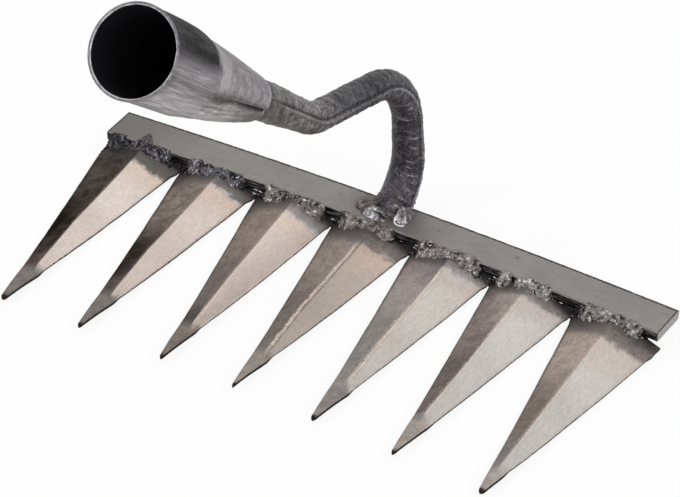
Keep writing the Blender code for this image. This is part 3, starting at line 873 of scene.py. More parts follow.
def tine_steel(name, tine, seed):
    """Ground sheet steel with weld heat at its root, painted light on its right facet and painted shade on
    its left.
    """
    g = Graph(bpy.data.materials.new(name))
    place = g.place(shift=(seed * 17.0, seed * 5.0, 0.0))
    broad = g.noise(place, 0.06, 3, distortion=0.3)
    coarse = g.noise(place, 0.22, 4, distortion=0.6)
    fine = g.noise(place, 0.9, 5, 0.65)
    grit = g.noise(place, 3.2, 3)
    ground = g.noise(g.place((1.5, 0.28, 1.5)), 1.0, 5, 0.6)
    along = g.read("along")
    across = g.read("across")
    scorch = g.read("scorch")
    heat = scorch.ragged(coarse, 0.13, 0.25).ragged(fine, 0.025, 0.25)
    # The right facet's colours: the heat tint's bands and the steel, painted bright as the lit side and a
    # little darker towards the point.
    right = g.ramp(
        heat * 0.25,
        (0.0, 56, 52, 51),
        (0.09, 84, 79, 78),
        (0.15, *off_grey(78, tine.band, 0.75)),
        (0.205, *tine.band),
        (0.240, *off_grey(186, tine.band, 1 - tine.halo)),
        (0.285, *tine.tan),
        (0.36, *tine.tan),
        (0.62, *tine.right),
    )
    right.shade(along.span(38.0, 58.0, 1.06, 0.97))
    right.shade(along.span(80.0, 92.0, 1.0, 0.95))
    # The left facet's colours: its own heat darkening under painted shade, as the side turned from the light.
    colour = g.ramp(
        heat * 0.25,
        (0.0, 54, 50, 50),
        (0.10, *off_grey(58, tine.left_root, 0.30)),
        (0.20, *off_grey(64, tine.left_root, 0.65)),
        (0.27, *tine.left_root),
    )
    colour.cover(tine.left, along.span(28.0, 62.0))
    colour.cover(tine.left_end, along.span(76.0, 91.0))
    colour.shade(coarse.span(0.35, 0.68, 1.04 + 0.10 * tine.mottled, 0.92 - 0.30 * tine.mottled))
    colour.shade(fine.span(0.35, 0.65, 0.94 - 0.12 * tine.mottled, 1.06 + 0.16 * tine.mottled))
    # The facets meet at the crease: painted light on the right, painted shade on the left.
    colour.cover(right, g.read("facet").span(-0.45, 0.45))
    dark_root = heat.span(1.02, 0.86)
    colour.cover((60, 56, 55), dark_root, fine.span(0.40, 0.62), 0.55 - 0.35 * tine.halo)
    colour.cover((158, 154, 152), dark_root, grit.span(0.55, 0.7), 0.45 - 0.30 * tine.halo)
    colour.cover((166, 148, 136), broad.span(0.42, 0.7, 0.0, 0.14))
    colour.shade(ground.span(0.30, 0.70, 0.90, 1.10))
    colour.shade(fine.span(0.30, 0.70, 0.95, 1.05))
    colour.shade(grit.span(0.58, 0.74, 1.0, 0.80))
    # A worn band along the crease, painted bright also as the ridge's highlight.
    from_crease = abs(across + coarse.span(0.3, 0.7, -0.5, 0.7))
    worn = from_crease.span(1.15, 0.35) * fine.span(0.35, 0.60, 0.25, 1.0)
    bare = scorch.span(0.85, 1.3) * along.span(98.0, 90.0)
    colour.cover((224, 208, 195), worn, bare, tine.worn)
    # Painted shade in a thin line beside the crease, also cut in as a shallow groove by the bump.
    crease_shade_line = abs(across - 0.95).span(0.42, 0.12) * (along.span(9.0, 14.0) * along.span(95.0, 91.0))
    crease_shade_line = crease_shade_line * tine.crease_shade_line
    colour.cover((92, 80, 74), crease_shade_line)
    tip = g.mix("MULTIPLY", 1.0, srgb(*tine.tip), coarse.span(0.35, 0.65, 1.06, 0.78))
    flat = along.ragged(coarse, 1.5).span(92.0 + tine.late_fold, 98.0 + tine.late_fold)
    colour.cover(tip, flat, 0.92)
    # Painted shade along the plate's side edges.
    colour.cover((58, 54, 52), g.read("edge").ragged(fine, 0.10).span(0.26, 0.08))
    # A painted highlight along the left part of the root edge.
    root_edge_highlight = along.span(1.15, 0.6) * across.span(-8.0, -10.5)
    colour.cover((206, 204, 206), root_edge_highlight, coarse.span(0.40, 0.52), 0.9)
    colour.cover((40, 37, 36), along.ragged(fine, 0.8, 0.2).span(116.5, 118.8))
    scale = g.ramp(coarse, (0.35, 92, 87, 84), (0.65, 124, 116, 110))
    colour.cover(scale, g.read("under").span(0.6, 0.9), 0.8)
    height = ground * 0.3 + fine * dark_root.span(0.0, 1.0, 0.2, 1.2) - crease_shade_line
    roughness = ground.span(0.2, 0.8, 0.30, 0.42) + dark_root * 0.10
    metallic = dark_root.span(0.0, 1.0, 0.95, 0.75)
    return g.finish(colour, roughness, metallic, g.bump(height, 0.07, 0.7), DIM_TINT)


# Socket.
def taper_share(along):
    return np.clip((along - SOCKET_STRAIGHT) / SOCKET_TAPER, 0.0, 1.0)


def slack_ear(angle):
    """How far the slack ear below the fold shows at an angle around the socket."""
    return hump(angle, SOCKET_EAR_ANGLE, SOCKET_EAR_SPREAD)


def socket_radius(along, angle):
    taper = taper_share(along)
    eased = between((taper, smooth_step(taper)), SOCKET_SHOULDER_EASE)
    radius = between((SOCKET_OUTER_RADIUS, SOCKET_LIP_RADIUS), eased)
    centre = SOCKET_FOLD_ANGLE + SOCKET_FOLD_TURN * taper
    groove = hump(angle, centre, np.where(angle > centre, SOCKET_FOLD_UPPER, SOCKET_FOLD_LOWER))
    ear = slack_ear(angle)
    strength = smooth_step((along - SOCKET_STRAIGHT) / SOCKET_FOLD_RUN) * (1 - SOCKET_FOLD_FADE * taper)
    radius += strength * (SOCKET_EAR_BULGE * ear - SOCKET_FOLD_DEPTH * groove)
    flat, belly = [np.interp(along / MM, *zip(*marks)) * MM for marks in (SOCKET_FLAT_MM, SOCKET_BELLY_MM)]
    radius = radius - flat * hump(angle, SOCKET_FLAT_ANGLE, SOCKET_FLAT_SPREAD) + belly * ear
    return np.maximum(radius, SOCKET_LIP_RADIUS - SOCKET_LIP_WALL / 2)


def socket_points(along, angle, radius):
    """Points of the tube's wall. Towards the lip they lean out to the ear's longer edge."""
    reach = along * SHOWN_STRETCH + SOCKET_SHOWN_EAR * slack_ear(angle) * smooth_step(taper_share(along))
    outward = radius[:, None] * spokes(angle, SHOWN_UPWARD)
    return np.array(SHOWN_MOUTH) + np.outer(reach, SHOWN_INWARD) + outward


def socket_mesh():
    angle = -math.pi + 2 * math.pi * np.arange(SOCKET_SIDES) / SOCKET_SIDES
    rings = []
    rows = []

    def add(along, radius, bore, relief=0.0):
        flare = 1 - smooth_step(along / SOCKET_RIM_RUN)
        rings.append(socket_points(along, angle, radius + SOCKET_RIM_FLARE * flare))
        shown = (SOCKET_SHORTER + along * SHOWN_STRETCH) / MM
        row = (shown, np.degrees(angle), bore, relief, along / MM)
        rows.append([np.broadcast_to(value, SOCKET_SIDES) for value in row])

    for along in [*SOCKET_NEAR_RIM, *np.linspace(0.002, SOCKET_LENGTH, SOCKET_STATIONS)]:
        radius = socket_radius(along, angle)
        hammered = smooth_step((along - SOCKET_HAMMER_STARTS) / SOCKET_HAMMER_RUN)
        spots = np.stack([angle * SOCKET_OUTER_RADIUS, angle * 0 + along, np.cos(angle) * 0.004], axis=1)
        dents = rough_at(spots, SOCKET_DENT_SIZE, seed=5, octaves=2)
        ripple = rough_at(spots, SOCKET_RIPPLE_SIZE, seed=6, octaves=2)
        relief = -np.abs(dents) * hammered + 0.25 * ripple * between((0.2, 1.0), hammered)
        if along < SOCKET_RIM_BEVEL:
            radius = radius - SOCKET_RIM_BEVEL
        lip = smooth_step((along - SOCKET_LENGTH) / SOCKET_LIP_EDGE + 1)
        add(along, radius + SOCKET_DENT * relief - SOCKET_LIP_THINNER * lip, 0.0, relief)
    chips = np.minimum(wobble(np.arange(SOCKET_SIDES), 7.0, 8), 0) * SOCKET_RIM_CHIPS
    for along in [*np.linspace(SOCKET_LENGTH, 0.0015, SOCKET_BORE_STATIONS), *SOCKET_IN_RIM]:
        wall = between((SOCKET_RIM_WALL, SOCKET_LIP_WALL), taper_share(along))
        radius = np.maximum(socket_radius(along, angle) - wall, NECK_GRIP_RADIUS + CLEARANCE)
        if along < SOCKET_RIM_BEVEL:
            radius = radius + SOCKET_RIM_BEVEL + chips
        add(along, radius, 1.0)
    values = dict(zip(("along", "turn", "bore", "relief", "rim"), np.stack(rows, axis=1)))
    return ring_mesh("handle_socket_fine", rings, values, closed=True, crease_angle=32)


def socket_steel():
    g = Graph(bpy.data.materials.new("socket_steel"))
    place = g.place()
    along = g.read("along")
    turn = g.read("turn")
    rim = g.read("rim")
    inside = g.read("bore")

    def unrolled(lengthwise, around):
        """A place on the tube's wall as if it were unrolled, stretched both ways."""
        return g.value("ShaderNodeCombineXYZ", 0, {0: along * lengthwise, 1: turn * around})

    fine = g.noise(place, 0.9, 5, 0.65)
    grit = g.noise(place, 2.6, 3)
    coarse = g.noise(place, 0.26, 4, 0.6, distortion=0.8)
    streaks = g.noise(unrolled(0.06, 0.22), 1.0, 5, 0.62, distortion=0.3)
    thin_streaks = g.noise(unrolled(0.05, 0.75), 1.0, 3)
    broad = g.noise(unrolled(0.04, 0.06), 1.0, 4, distortion=0.4)
    # Painted light and shade around the tube: light below, darker above and at the left.
    colour = g.ramp(
        turn.span(-180.0, 180.0),
        (0.0, 130, 127, 130),
        (0.25, 204, 200, 202),
        (0.31, 208, 204, 206),
        (0.36, 190, 186, 188),
        (0.40, 176, 172, 174),
        (0.434, 154, 151, 153),
        (0.467, 166, 163, 165),
        (0.5165, 152, 149, 151),
        (0.566, 124, 122, 124),
        (1.0, 104, 102, 104),
    )
    colour.shade(streaks.span(0.30, 0.70, 0.70, 1.30))
    colour.shade(thin_streaks.span(0.30, 0.70, 0.84, 1.16))
    colour.cover((124, 121, 124), broad.span(0.5, 0.7, 0.0, 0.30))
    # The lower side, painted lighter still towards the lip as painted light.
    belly = colour.copy()
    belly.shade(along.span(34.0, 50.0, 1.0, 1.45))
    belly.cover((158, 155, 156), along.span(60.0, 92.0, 0.10, 0.85))
    forged = g.ramp(
        coarse * 0.45 + fine * 0.55,
        (0.34, 138, 135, 138),
        (0.46, 166, 163, 165),
        (0.54, 184, 181, 183),
        (0.66, 216, 213, 215),
    )
    forged.cover((130, 127, 130), g.read("relief").span(-0.05, -0.45, 0.0, 0.30))
    # The taper's lower side takes the same painted light.
    lower = turn.span(-18.0, -30.0)
    forged.cover(belly, lower, 0.92)
    forged.shade(g.calc("ADD", 1.0, lower * streaks.span(0.32, 0.68, -0.12, 0.12)))
    colour.cover(forged, along.ragged(coarse, 1.5).span(36.0, 41.0), 0.92)
    wandering = along.ragged(coarse, 2.0)
    light_band = wandering.span(38.5, 41.5) * wandering.span(54.0, 46.0)
    colour.cover((206, 203, 205), light_band, turn.span(-16.0, -6.0) * turn.span(70.0, 50.0), 0.60)
    border = turn.ragged(streaks, 4.0)
    slanted = along - turn * 0.035
    mill = border.span(8.0, 25.0) * slanted.span(35.8, 34.2) * turn.span(150.0, 100.0)
    mill_scale = g.ramp(coarse, (0.32, 34, 33, 34), (0.55, 46, 45, 46), (0.72, 68, 67, 68))
    colour.cover(mill_scale, mill, 0.96)
    below_mill = border.span(1.0, 11.0) * slanted.span(37.0, 34.0)
    colour.cover((102, 100, 102), below_mill, broad.span(0.40, 0.58), 0.35)
    groove = turn + along.span(38.0, 104.0, 17.0, 22.0)
    shadow = groove.span(-13.0, -3.5) * groove.span(4.0, -1.0) * along.span(28.0, 44.0)
    dark = g.ramp(fine, (0.35, 46, 43, 46), (0.65, 80, 76, 79))
    colour.cover(dark, shadow, along.span(62.0, 86.0, 0.46, 0.92))
    # Painted shade in the fold's groove.
    colour.cover((44, 41, 43), abs(groove).span(2.6, 0.5), along.span(50.0, 80.0), 0.8)
    seam = abs(turn - along.span(58.0, 97.0, 38.4, 44.6))
    colour.cover((84, 82, 85), seam.span(1.3, 0.5), along.span(52.0, 60.0) * 0.7)
    colour.cover((214, 212, 213), along.span(100.2, 101.0), fine.span(0.3, 0.6, 0.6, 1.0))
    colour.cover((76, 73, 75), grit.span(0.64, 0.74, 0.0, 0.30))
    outer_line = inside.span(0.6, 0.4) * (rim.span(0.05, 0.15) * rim.span(0.9, 0.5))
    colour.cover((88, 86, 90), outer_line, 0.55)
    colour.cover(g.ramp(fine, (0.35, 90, 88, 92), (0.65, 140, 137, 140)), rim.span(0.14, 0.06))
    inner_line = inside.span(0.6, 0.95) * rim.span(0.8, 0.2)
    colour.cover((206, 204, 208), inner_line, coarse.span(0.35, 0.6, 0.2, 1.0))
    # The bore, painted near black as the shade inside the tube.
    bore = inside.span(0.4, 0.9) * rim.span(0.3, 0.8)
    colour.cover((16, 15, 19), bore)
    roughness = fine.span(0.2, 0.8, 0.30, 0.44) + mill * 0.12
    roughness = g.calc("ADD", roughness, bore * 0.5, clamp=True)
    metallic = g.calc("MAXIMUM", bore, mill * 0.25).span(0.0, 1.0, 0.92, 0.1)
    normal = g.bump(streaks * 0.4 + fine * 0.6, 0.09, 0.7)
    return g.finish(colour, roughness, metallic, normal, DIM_TINT)


# Gooseneck.
def bend_points(before, corner, after, radius):
    towards = (before - corner).normalized()
    away = (after - corner).normalized()
    half = towards.angle(away) / 2
    centre = corner + (towards + away).normalized() * radius / math.sin(half)
    start = corner + towards * radius / math.tan(half) - centre
    end = corner + away * radius / math.tan(half) - centre
    shares = np.linspace(0, 1, NECK_BEND_POINTS)
    return [centre + start.slerp(end, share).normalized() * radius for share in shares]


def neck_line():
    """Even points of the rod's centre line from the socket to the foot, with distances and radii."""
    corners = [NECK_FOOT + Vector((0, back, up)) for back, up, bend, radius in NECK_CORNERS]
    tenon_end = SOCKET_LIP - SOCKET_INWARD * NECK_TENON
    past_foot = NECK_FOOT - NECK_LEAN * (NECK_FOOT_RADIUS + NECK_FOOT_LENGTH)
    line = [tenon_end, *corners, past_foot]
    route = [tenon_end]
    for i, (back, up, bend, radius) in enumerate(NECK_CORNERS, start=1):
        route += bend_points(line[i - 1], line[i], line[i + 1], bend)
    route.append(past_foot)
    points = np.array([tuple(point) for point in route])
    lengths = np.concatenate(([0.0], np.cumsum(np.linalg.norm(np.diff(points, axis=0), axis=1))))
    distances = np.linspace(0, lengths[-1], round(lengths[-1] / NECK_STEP) + 1)
    even = np.stack([np.interp(distances, lengths, points[:, axis]) for axis in range(3)], axis=1)
    marks = [(NECK_TENON + NECK_GRIP_RUN, NECK_GRIP_RADIUS), (distances[-1], NECK_FOOT_RADIUS)]
    for corner, (back, up, bend, radius) in zip(corners, NECK_CORNERS):
        nearest = np.argmin(np.linalg.norm(even - np.array(corner), axis=1))
        marks.append((distances[nearest], radius))
    places, radii = zip(*sorted(marks))
    return even, distances, np.interp(distances, places, radii)


def neck_relief(points, distance, angle, length):
    """Heights of the ribs and of the forge scale on one ring of the rod."""
    free = smooth_step((distance - NECK_TENON) / NECK_GRIP_RADIUS - 1)
    side = np.sin(angle)
    long_rib = hump(side, 0, NECK_RIB_SPREAD)
    long_rib -= hump(side, 2.2 * NECK_RIB_SPREAD, NECK_RIB_SPREAD) * NECK_RIB_GROOVE
    lean = np.where(side > 0, 1.0, -1.0) * np.cos(angle) * NECK_RIB_LEAN
    stray = NECK_RIB_STRAY * noise.noise(Vector((distance / NECK_RIB_STRAY_SIZE, 4.1, 0)))
    phase = (distance + lean + stray) / NECK_CROSS_PITCH
    crest = np.clip(np.cos(2 * math.pi * phase), 0, 1) ** 2
    between_crests = np.clip(np.cos(2 * math.pi * (2 * phase + 0.5)), 0, 1) ** 2
    clear = smooth_step((np.abs(side) - 0.15) / 0.35)
    worn = 0.65 + 0.45 * np.clip(rough_at(points, NECK_WORN_SIZE, seed=17, octaves=1) * 3, -1, 1)
    column = smooth_step((distance - length + NECK_CRISP_STARTS) / NECK_COLUMN_RUN)
    turned = (angle - NECK_CRISP_ANGLE + math.pi) % (2 * math.pi) - math.pi
    crisp = between((0.45, NECK_WORN_RIB + 1.2 * hump(turned, 0, NECK_CRISP_SPREAD)), column)
    cross_rib = (crest * worn * crisp + 0.12 * between_crests) * clear
    dents = rough_at(points, NECK_DENT_SIZE, seed=11, octaves=2)
    scale = np.abs(rough_at(points, NECK_SCALE_SIZE, seed=12, octaves=3))
    foot = smooth_step((length - distance) / 0.02)
    ribs = (long_rib * NECK_LONG_RIB + cross_rib * NECK_CROSS_RIB) * between((0.3, 1.0), foot)
    return free * (ribs + dents * NECK_DENT - scale * NECK_SCALE)


def neck_nudge(distance, length):
    """How far the real rod is off the plain path: its arch is lower, its column further to the right."""
    arch = hump(length - distance, NECK_ARCH_FROM_END, NECK_ARCH_RUN)
    column = smooth_step((distance - length + NECK_COLUMN_STARTS) / NECK_COLUMN_RUN)
    column *= smooth_step((length - distance) / (NECK_COLUMN_RUN / 2) + 0.3)
    return np.array((NECK_COLUMN_SHIFT * column, 0.0, -NECK_ARCH_DROP * arch))


def neck_swell(distance, length):
    """How much thicker than the plain rod the real one is, just past the socket and low on its column."""
    throat = smooth_step((distance - NECK_THROAT_STARTS) / NECK_THROAT_RISE)
    throat *= smooth_step((NECK_THROAT_ENDS - distance) / NECK_THROAT_FALL)
    foot = hump(length - distance, NECK_FOOT_RUN, NECK_FOOT_RUN / 2)
    return NECK_THROAT_SWELL * throat + NECK_FOOT_SWELL * foot


def neck_mesh():
    points, distances, radii = neck_line()
    length = distances[-1]
    angle = 2 * math.pi * np.arange(NECK_SIDES) / NECK_SIDES
    rings = []
    rows = []
    for i, (point, distance) in enumerate(zip(points, distances)):
        ahead = points[min(i + 1, len(points) - 1)] - points[max(i - 1, 0)]
        outward = spokes(angle, Vector((1, 0, 0)).cross(Vector(ahead).normalized()))
        centre = point + neck_nudge(distance, length)
        relief = neck_relief(centre + outward * radii[i], distance, angle, length)
        radius = radii[i] + neck_swell(distance, length) + relief
        end = 1 - min(1.0, distance / NECK_TENON_ROUND)
        rings.append(centre + outward * (radius * between((0.45, 1.0), math.sqrt(1 - end**2)))[:, None])
        row = (relief / MM, distance / MM, np.degrees(angle))
        rows.append([np.broadcast_to(value, NECK_SIDES) for value in row])
    values = dict(zip(("relief", "along", "turn"), np.stack(rows, axis=1)))
    return ring_mesh("gooseneck_fine", rings, values, crease_angle=60, cut_height=BAR_PLACE.z)


def rod_steel():
    """Forge scale that is light near the socket, black on the arch and worn bright on ribs and lumps, with
    painted highlights on the crests, painted shade beside the long rib and painted light and shade along its
    length.
    """
    g = Graph(bpy.data.materials.new("rod_steel"))
    place = g.place()
    broad = g.noise(place, 0.10, 3)
    patches = g.noise(place, 0.35, 4, distortion=0.8)
    scale = g.noise(place, 1.1, 6, 0.7)
    grit = g.noise(place, 3.4, 4, 0.65)
    relief = g.read("relief")
    along = g.read("along")
    tone = patches * 0.45 + scale * 0.55

    def forged(*colours):
        return g.ramp(tone, *[(place, *colour) for place, colour in zip((0.38, 0.47, 0.53, 0.62), colours)])

    colour = forged((52, 51, 52), (92, 90, 90), (112, 110, 109), (150, 148, 148))
    arch = forged((34, 33, 36), (68, 66, 69), (88, 86, 88), (128, 126, 130))
    column = forged((26, 25, 28), (54, 52, 56), (72, 70, 74), (112, 110, 116))
    colour.cover(arch, along.span(98.0, 122.0))
    colour.cover(column, along.span(160.0, 185.0))
    # Worn crests of ribs and lumps, lightened also as painted highlights.
    crest = relief.span(0.12, 0.42) * scale.span(0.38, 0.60)
    colour.cover((156, 154, 158), crest, along.span(95.0, 150.0, 0.15, 0.90))
    colour.cover((28, 27, 29), relief.span(-0.04, -0.26), 0.65)
    # Painted shade in the groove beside the long rib.
    rib_groove_shade = abs(g.read("turn") - along.span(90.0, 150.0, 12.0, 15.0))
    colour.cover((30, 29, 31), rib_groove_shade.span(4.5, 1.5), scale.span(0.30, 0.50, 0.5, 1.0), 0.75)
    colour.cover((136, 134, 136), grit.span(0.56, 0.66, 0.0, 0.40))
    colour.cover((26, 25, 27), grit.span(0.44, 0.34, 0.0, 0.45))
    colour.cover((88, 74, 68), broad.span(0.52, 0.66), along.span(190.0, 245.0, 0.05, 0.28))
    # Painted light and shade along the rod's length.
    light_and_shade = [(run / ROD_LIGHT_AND_SHADE_END_MM, (shade, shade, shade, 1.0)) for run, shade in ROD_LIGHT_AND_SHADE_MM]
    colour.shade(g.linear_ramp(g.calc("DIVIDE", along, ROD_LIGHT_AND_SHADE_END_MM), light_and_shade))
    roughness = scale.span(0.3, 0.7, 0.34, 0.55)
    metallic = scale.span(0.3, 0.7, 0.6, 0.85)
    return g.finish(colour, roughness, metallic, g.bump(scale + grit * 0.4, 0.40, 0.9))


# Welds.
def tine_face_height(tine, x, distance):
    """The height of a tine's upper face at a place near its root."""
    left, right = tine_sides(tine, distance)
    face = tine_roof(tine, distance, left, right)[0]
    return face(min(max(x, left), right))[0].y


def add_blob(bm, centre, sizes, turn=(0.0, 0.0, 0.0), detail=3):
    """One drop of weld metal."""
    turn_x, turn_y, turn_z = [Matrix.Rotation(angle, 4, axis) for angle, axis in zip(turn, "XYZ")]
    matrix = Matrix.Translation(centre) @ turn_z @ turn_y @ turn_x @ Matrix.Diagonal((*sizes, 1))
    bmesh.ops.create_icosphere(bm, subdivisions=detail, radius=1.0, matrix=matrix)


def add_loft(bm, rings):
    rows = [[bm.verts.new(point) for point in ring] for ring in rings]
    sides = len(rows[0])
    for near, far in zip(rows, rows[1:]):
        for i in range(sides):
            j = (i + 1) % sides
            bm.faces.new((near[i], near[j], far[j], far[i]))
    bm.faces.new(rows[0])
    bm.faces.new(reversed(rows[-1]))


def in_valley(x):
    """0 near a tine's crease and 1 towards the valleys between tines."""
    return smooth_step((abs(x) / VALLEY - WELD_VALLEY_STARTS) / WELD_VALLEY_RUN)


def weld_strength(x, run, joined):
    """1 along a bead's body. It falls to a low ridge at the crease and to a thin crust in the valleys."""
    inside = min(x - run[0], run[1] - x)
    low = between((joined, WELD_THIN), in_valley(x))
    return between((low, 1.0), smooth_step(inside / WELD_FADE + 0.5))


def weld_ring(tine, x, size, widths, reach):
    """One slice of a bead's core, in the corner between the bar's front edge and a tine's upper face."""
    crown = size * WELD_CROWN * widths[0] * min(1.0, WELD_LOW_REACH / reach)
    on_bar = size * reach * widths[1]
    on_tine = between((0.35, 1.0), size) * WELD_ON_TINE * widths[2]
    root = tine_face_height(tine, x, TINE_SETBACK)
    toe = tine_face_height(tine, x, TINE_SETBACK + on_tine)
    body = (size - WELD_THIN) / (1 - WELD_THIN)

    def lift(height):
        return crown * height - WELD_SUNK * (1 - height)

    top = max(between((-BAR_THICKNESS + WELD_FRONT_GAP, 0.0), body), root)
    under = WELD_UNDER_BAR if root < -BAR_THICKNESS else WELD_BEHIND
    ring = [(x, under, root - WELD_SUNK), (x, WELD_BEHIND, top - WELD_SUNK)]
    for leg, height in WELD_BAR_PROFILE:
        ring.append((x, on_bar * leg * body, top + lift(height)))
    for leg, height in WELD_TINE_PROFILE:
        face = tine_face_height(tine, x, TINE_SETBACK + on_tine * leg)
        line = between((top, toe), leg)
        ring.append((x, -TINE_SETBACK - on_tine * leg, max(line, face) + lift(height)))
    return ring


def bead_shape(tine, run, ends, joined, reach, seed):
    """The core and the drops of one bead in its tine's frame. run is its body, ends its whole crust."""
    rnd = random.Random(seed)
    bm = bmesh.new()
    stations = np.linspace(*ends, round((ends[1] - ends[0]) / WELD_STATION) + 1)
    ragged = [1 + 0.6 * wobble(stations, size, seed + 3 * i) for i, size in enumerate(WELD_RAGGED_SIZES)]
    rings = []
    for x, widths in zip(stations, np.maximum(0.25, ragged).T):
        rings.append(weld_ring(tine, x, weld_strength(x, run, joined), widths, reach))
    add_loft(bm, rings)
    x = run[0]
    while x < run[1]:
        size = weld_strength(x, run, joined)
        top = Vector((x, min(reach, WELD_DROP_REACH) * size * 0.8, 0.0001))
        toe = Vector((x, -WELD_ON_TINE * size, tine_face_height(tine, x, WELD_ON_TINE * size)))
        slope = math.atan2(top.z - toe.z, top.y - toe.y)
        for share in [rnd.uniform(*band) for band in WELD_DROP_BANDS]:
            sizes = [part * rnd.uniform(0.7, 1.4) for part in WELD_DROP_SIZES]
            depth = sizes[2] - rnd.uniform(0.0000, 0.0005) * size
            at = top.lerp(toe, share) + Vector((rnd.uniform(-0.0008, 0.0008), 0, -depth))
            add_blob(bm, at, sizes, (slope, rnd.uniform(-0.15, 0.15), rnd.uniform(-0.9, 0.9)))
        x += rnd.uniform(0.0016, 0.0030)
    for _ in range(round((run[1] - run[0]) / WELD_SPATTER_PITCH)):
        x = rnd.uniform(*run)
        size = rnd.uniform(0.00030, 0.00050)
        distance = rnd.uniform(0.0035, 0.0065)
        place = Vector((x, -distance, tine_face_height(tine, x, distance)))
        add_blob(bm, place, (size, size, size * 0.8), detail=2)
    return bm


def melted(name, bm, voxel, rough, seed, matrix, valley_shade=np.zeros_like):
    """Melts overlapping drops into one skin of weld metal: round lumps with sharp creases between them."""
    source = bpy.data.meshes.new(name + "_drops")
    bmesh.ops.recalc_face_normals(bm, faces=bm.faces)
    bm.to_mesh(source)
    bm.free()
    scratch = add_object(name + "_drops", source)
    remesh = scratch.modifiers.new("melt", "REMESH")
    remesh.mode = "VOXEL"
    remesh.voxel_size = voxel
    soften = scratch.modifiers.new("soften", "SMOOTH")
    soften.factor = 0.5
    soften.iterations = 9
    graph = bpy.context.evaluated_depsgraph_get()
    mesh = bpy.data.meshes.new_from_object(scratch.evaluated_get(graph))
    mesh.name = name
    bpy.data.objects.remove(scratch)
    bpy.data.meshes.remove(source)
    points = np.zeros(len(mesh.vertices) * 3)
    normals = np.zeros(len(mesh.vertices) * 3)
    mesh.vertices.foreach_get("co", points)
    mesh.vertex_normals.foreach_get("vector", normals)
    points = points.reshape(-1, 3)
    lumps = np.abs(rough_at(points, WELD_LUMP_SIZE, seed=seed, octaves=1)) * 2.2
    crust = np.abs(rough_at(points, WELD_CRUST_SIZE, seed=seed + 1, octaves=2)) * 1.6
    height = 0.8 * lumps + 0.2 * crust - 0.45
    skin = smooth_step((points[:, 1] - WELD_SKIN_STARTS) / WELD_SKIN_RUN)
    hold_values(mesh, {"relief": height, "valley_shade": valley_shade(points[:, 0]), "skin": skin})
    points += normals.reshape(-1, 3) * (height * rough)[:, None]
    mesh.vertices.foreach_set("co", placed(points, matrix).ravel())
    mesh.shade_smooth()
    mesh.update()
    return mesh


def weld_steel(name, dark, middle, light, on_bar, shine):
    """Glossy weld metal with painted shade in its creases and painted light on its crests. shine is its share
    of bright metal.
    """
    g = Graph(bpy.data.materials.new(name))
    place = g.place()
    patches = g.noise(place, 0.20, 2, distortion=0.8)
    lumps = g.noise(place, 0.42, 2, 0.5, distortion=1.4)
    grit = g.noise(place, 1.5, 3, 0.6, distortion=0.5)
    painted_glint = g.noise(place, 0.7, 1, distortion=0.8)
    valley_highlight_streaks = g.noise(g.place((0.10, 0.8, 0.8)), 1.0, 1)
    valley_shade = g.read("valley_shade")
    # The tone follows the lumps' height: painted shade low down and painted light on top.
    tone = g.read("relief") * 0.20 + lumps * 0.85 + grit * 0.22 + patches * 0.80 + (0.5 * shine - 0.53)
    colour = g.ramp(
        tone,
        (0.40, *[part * 0.40 for part in dark]),
        (0.52, *dark),
        (0.62, *middle),
        (0.82, *[part * 1.15 for part in middle]),
        (0.95, *light),
    )
    skin = g.read("skin") * grit.span(0.30, 0.60, 0.55, 0.85)
    colour.cover(on_bar, skin)
    # Painted glints of the light colour, fewer on the skin over the bar.
    colour.cover(light, painted_glint.span(0.63, 0.69, 0.0, min(0.9, 1.9 * shine)), skin.span(0.0, 1.0, 1.0, 0.35))
    # The thin crust in the valleys is painted near black as shade, with painted highlight streaks along it.
    colour.cover((12, 11, 13), valley_shade, 0.93)
    colour.cover(light, valley_shade, valley_highlight_streaks.span(0.60, 0.68), 0.6)
    roughness = patches.span(0.3, 0.7, 0.26, 0.40)
    metallic = tone.span(0.4, 0.9, 0.7, 1.0)
    return g.finish(colour, roughness, metallic, g.bump(lumps + grit * 0.18, 0.35, 0.5))


def build_bead(index, side):
    """A tine's left or right bead, with the small pieces that only some beads have."""
    tine = TINES[index]
    edges = [share * TINE_HALF_WIDTH for share in WELD_RUNS[index]]
    middle = (edges[1] + edges[2]) / 2
    last = index == TINE_COUNT - 1
    if side == "left":
        run, ends = edges[:2], (-VALLEY, middle)
    else:
        run, ends = edges[2:], (middle, edges[3] + WELD_FADE if last else VALLEY)
    seed = 10 * index + (1 if side == "left" else 2)
    joined = WELD_THIN if index in WELD_OPEN_CREASES else WELD_JOINED
    reach = WELD_ON_BAR[index][0 if side == "left" else 1]
    dark, bright, light, on_bar, shine, rough = WELD_METALS[index]
    bm = bead_shape(tine, run, ends, joined, reach, seed)
    if side == "right" and not last:
        root = tine_face_height(tine, VALLEY, TINE_SETBACK)
        add_blob(bm, Vector((VALLEY, -0.0014, root - 0.0006)), WELD_VALLEY_DROP)
    if (index, side) == (0, "right"):
        heights = (WELD_PEAK_HEIGHT, -WELD_PEAK_HEIGHT)
        plate = [bm.verts.new((x, y, height)) for x, y in WELD_PEAK for height in heights]
        bmesh.ops.convex_hull(bm, input=plate)
    if (index, side) == (0, "left"):
        shine -= WELD_CORNER_DARKER
        for x, y, size in WELD_CORNER:
            height = tine_face_height(tine, x, -y)
            add_blob(bm, Vector((x, y, height - size * 0.6)), (size, size * 1.5, size))

    # How much painted shade darkens the thin crust in the valleys.
    def valley_shade(across):
        fades = [(1 - weld_strength(x, run, joined)) * in_valley(x) for x in across]
        return np.array(fades) / (1 - WELD_THIN)

    name = f"tine_{index + 1}_weld_{side}"
    mesh = melted(name + "_fine", bm, WELD_VOXEL, WELD_ROUGH * rough, seed, tine_placement(index), valley_shade)
    metal = weld_steel(name + "_steel", dark, bright, light, on_bar, shine)
    new_piece(name + "_fine", mesh, metal, [name])


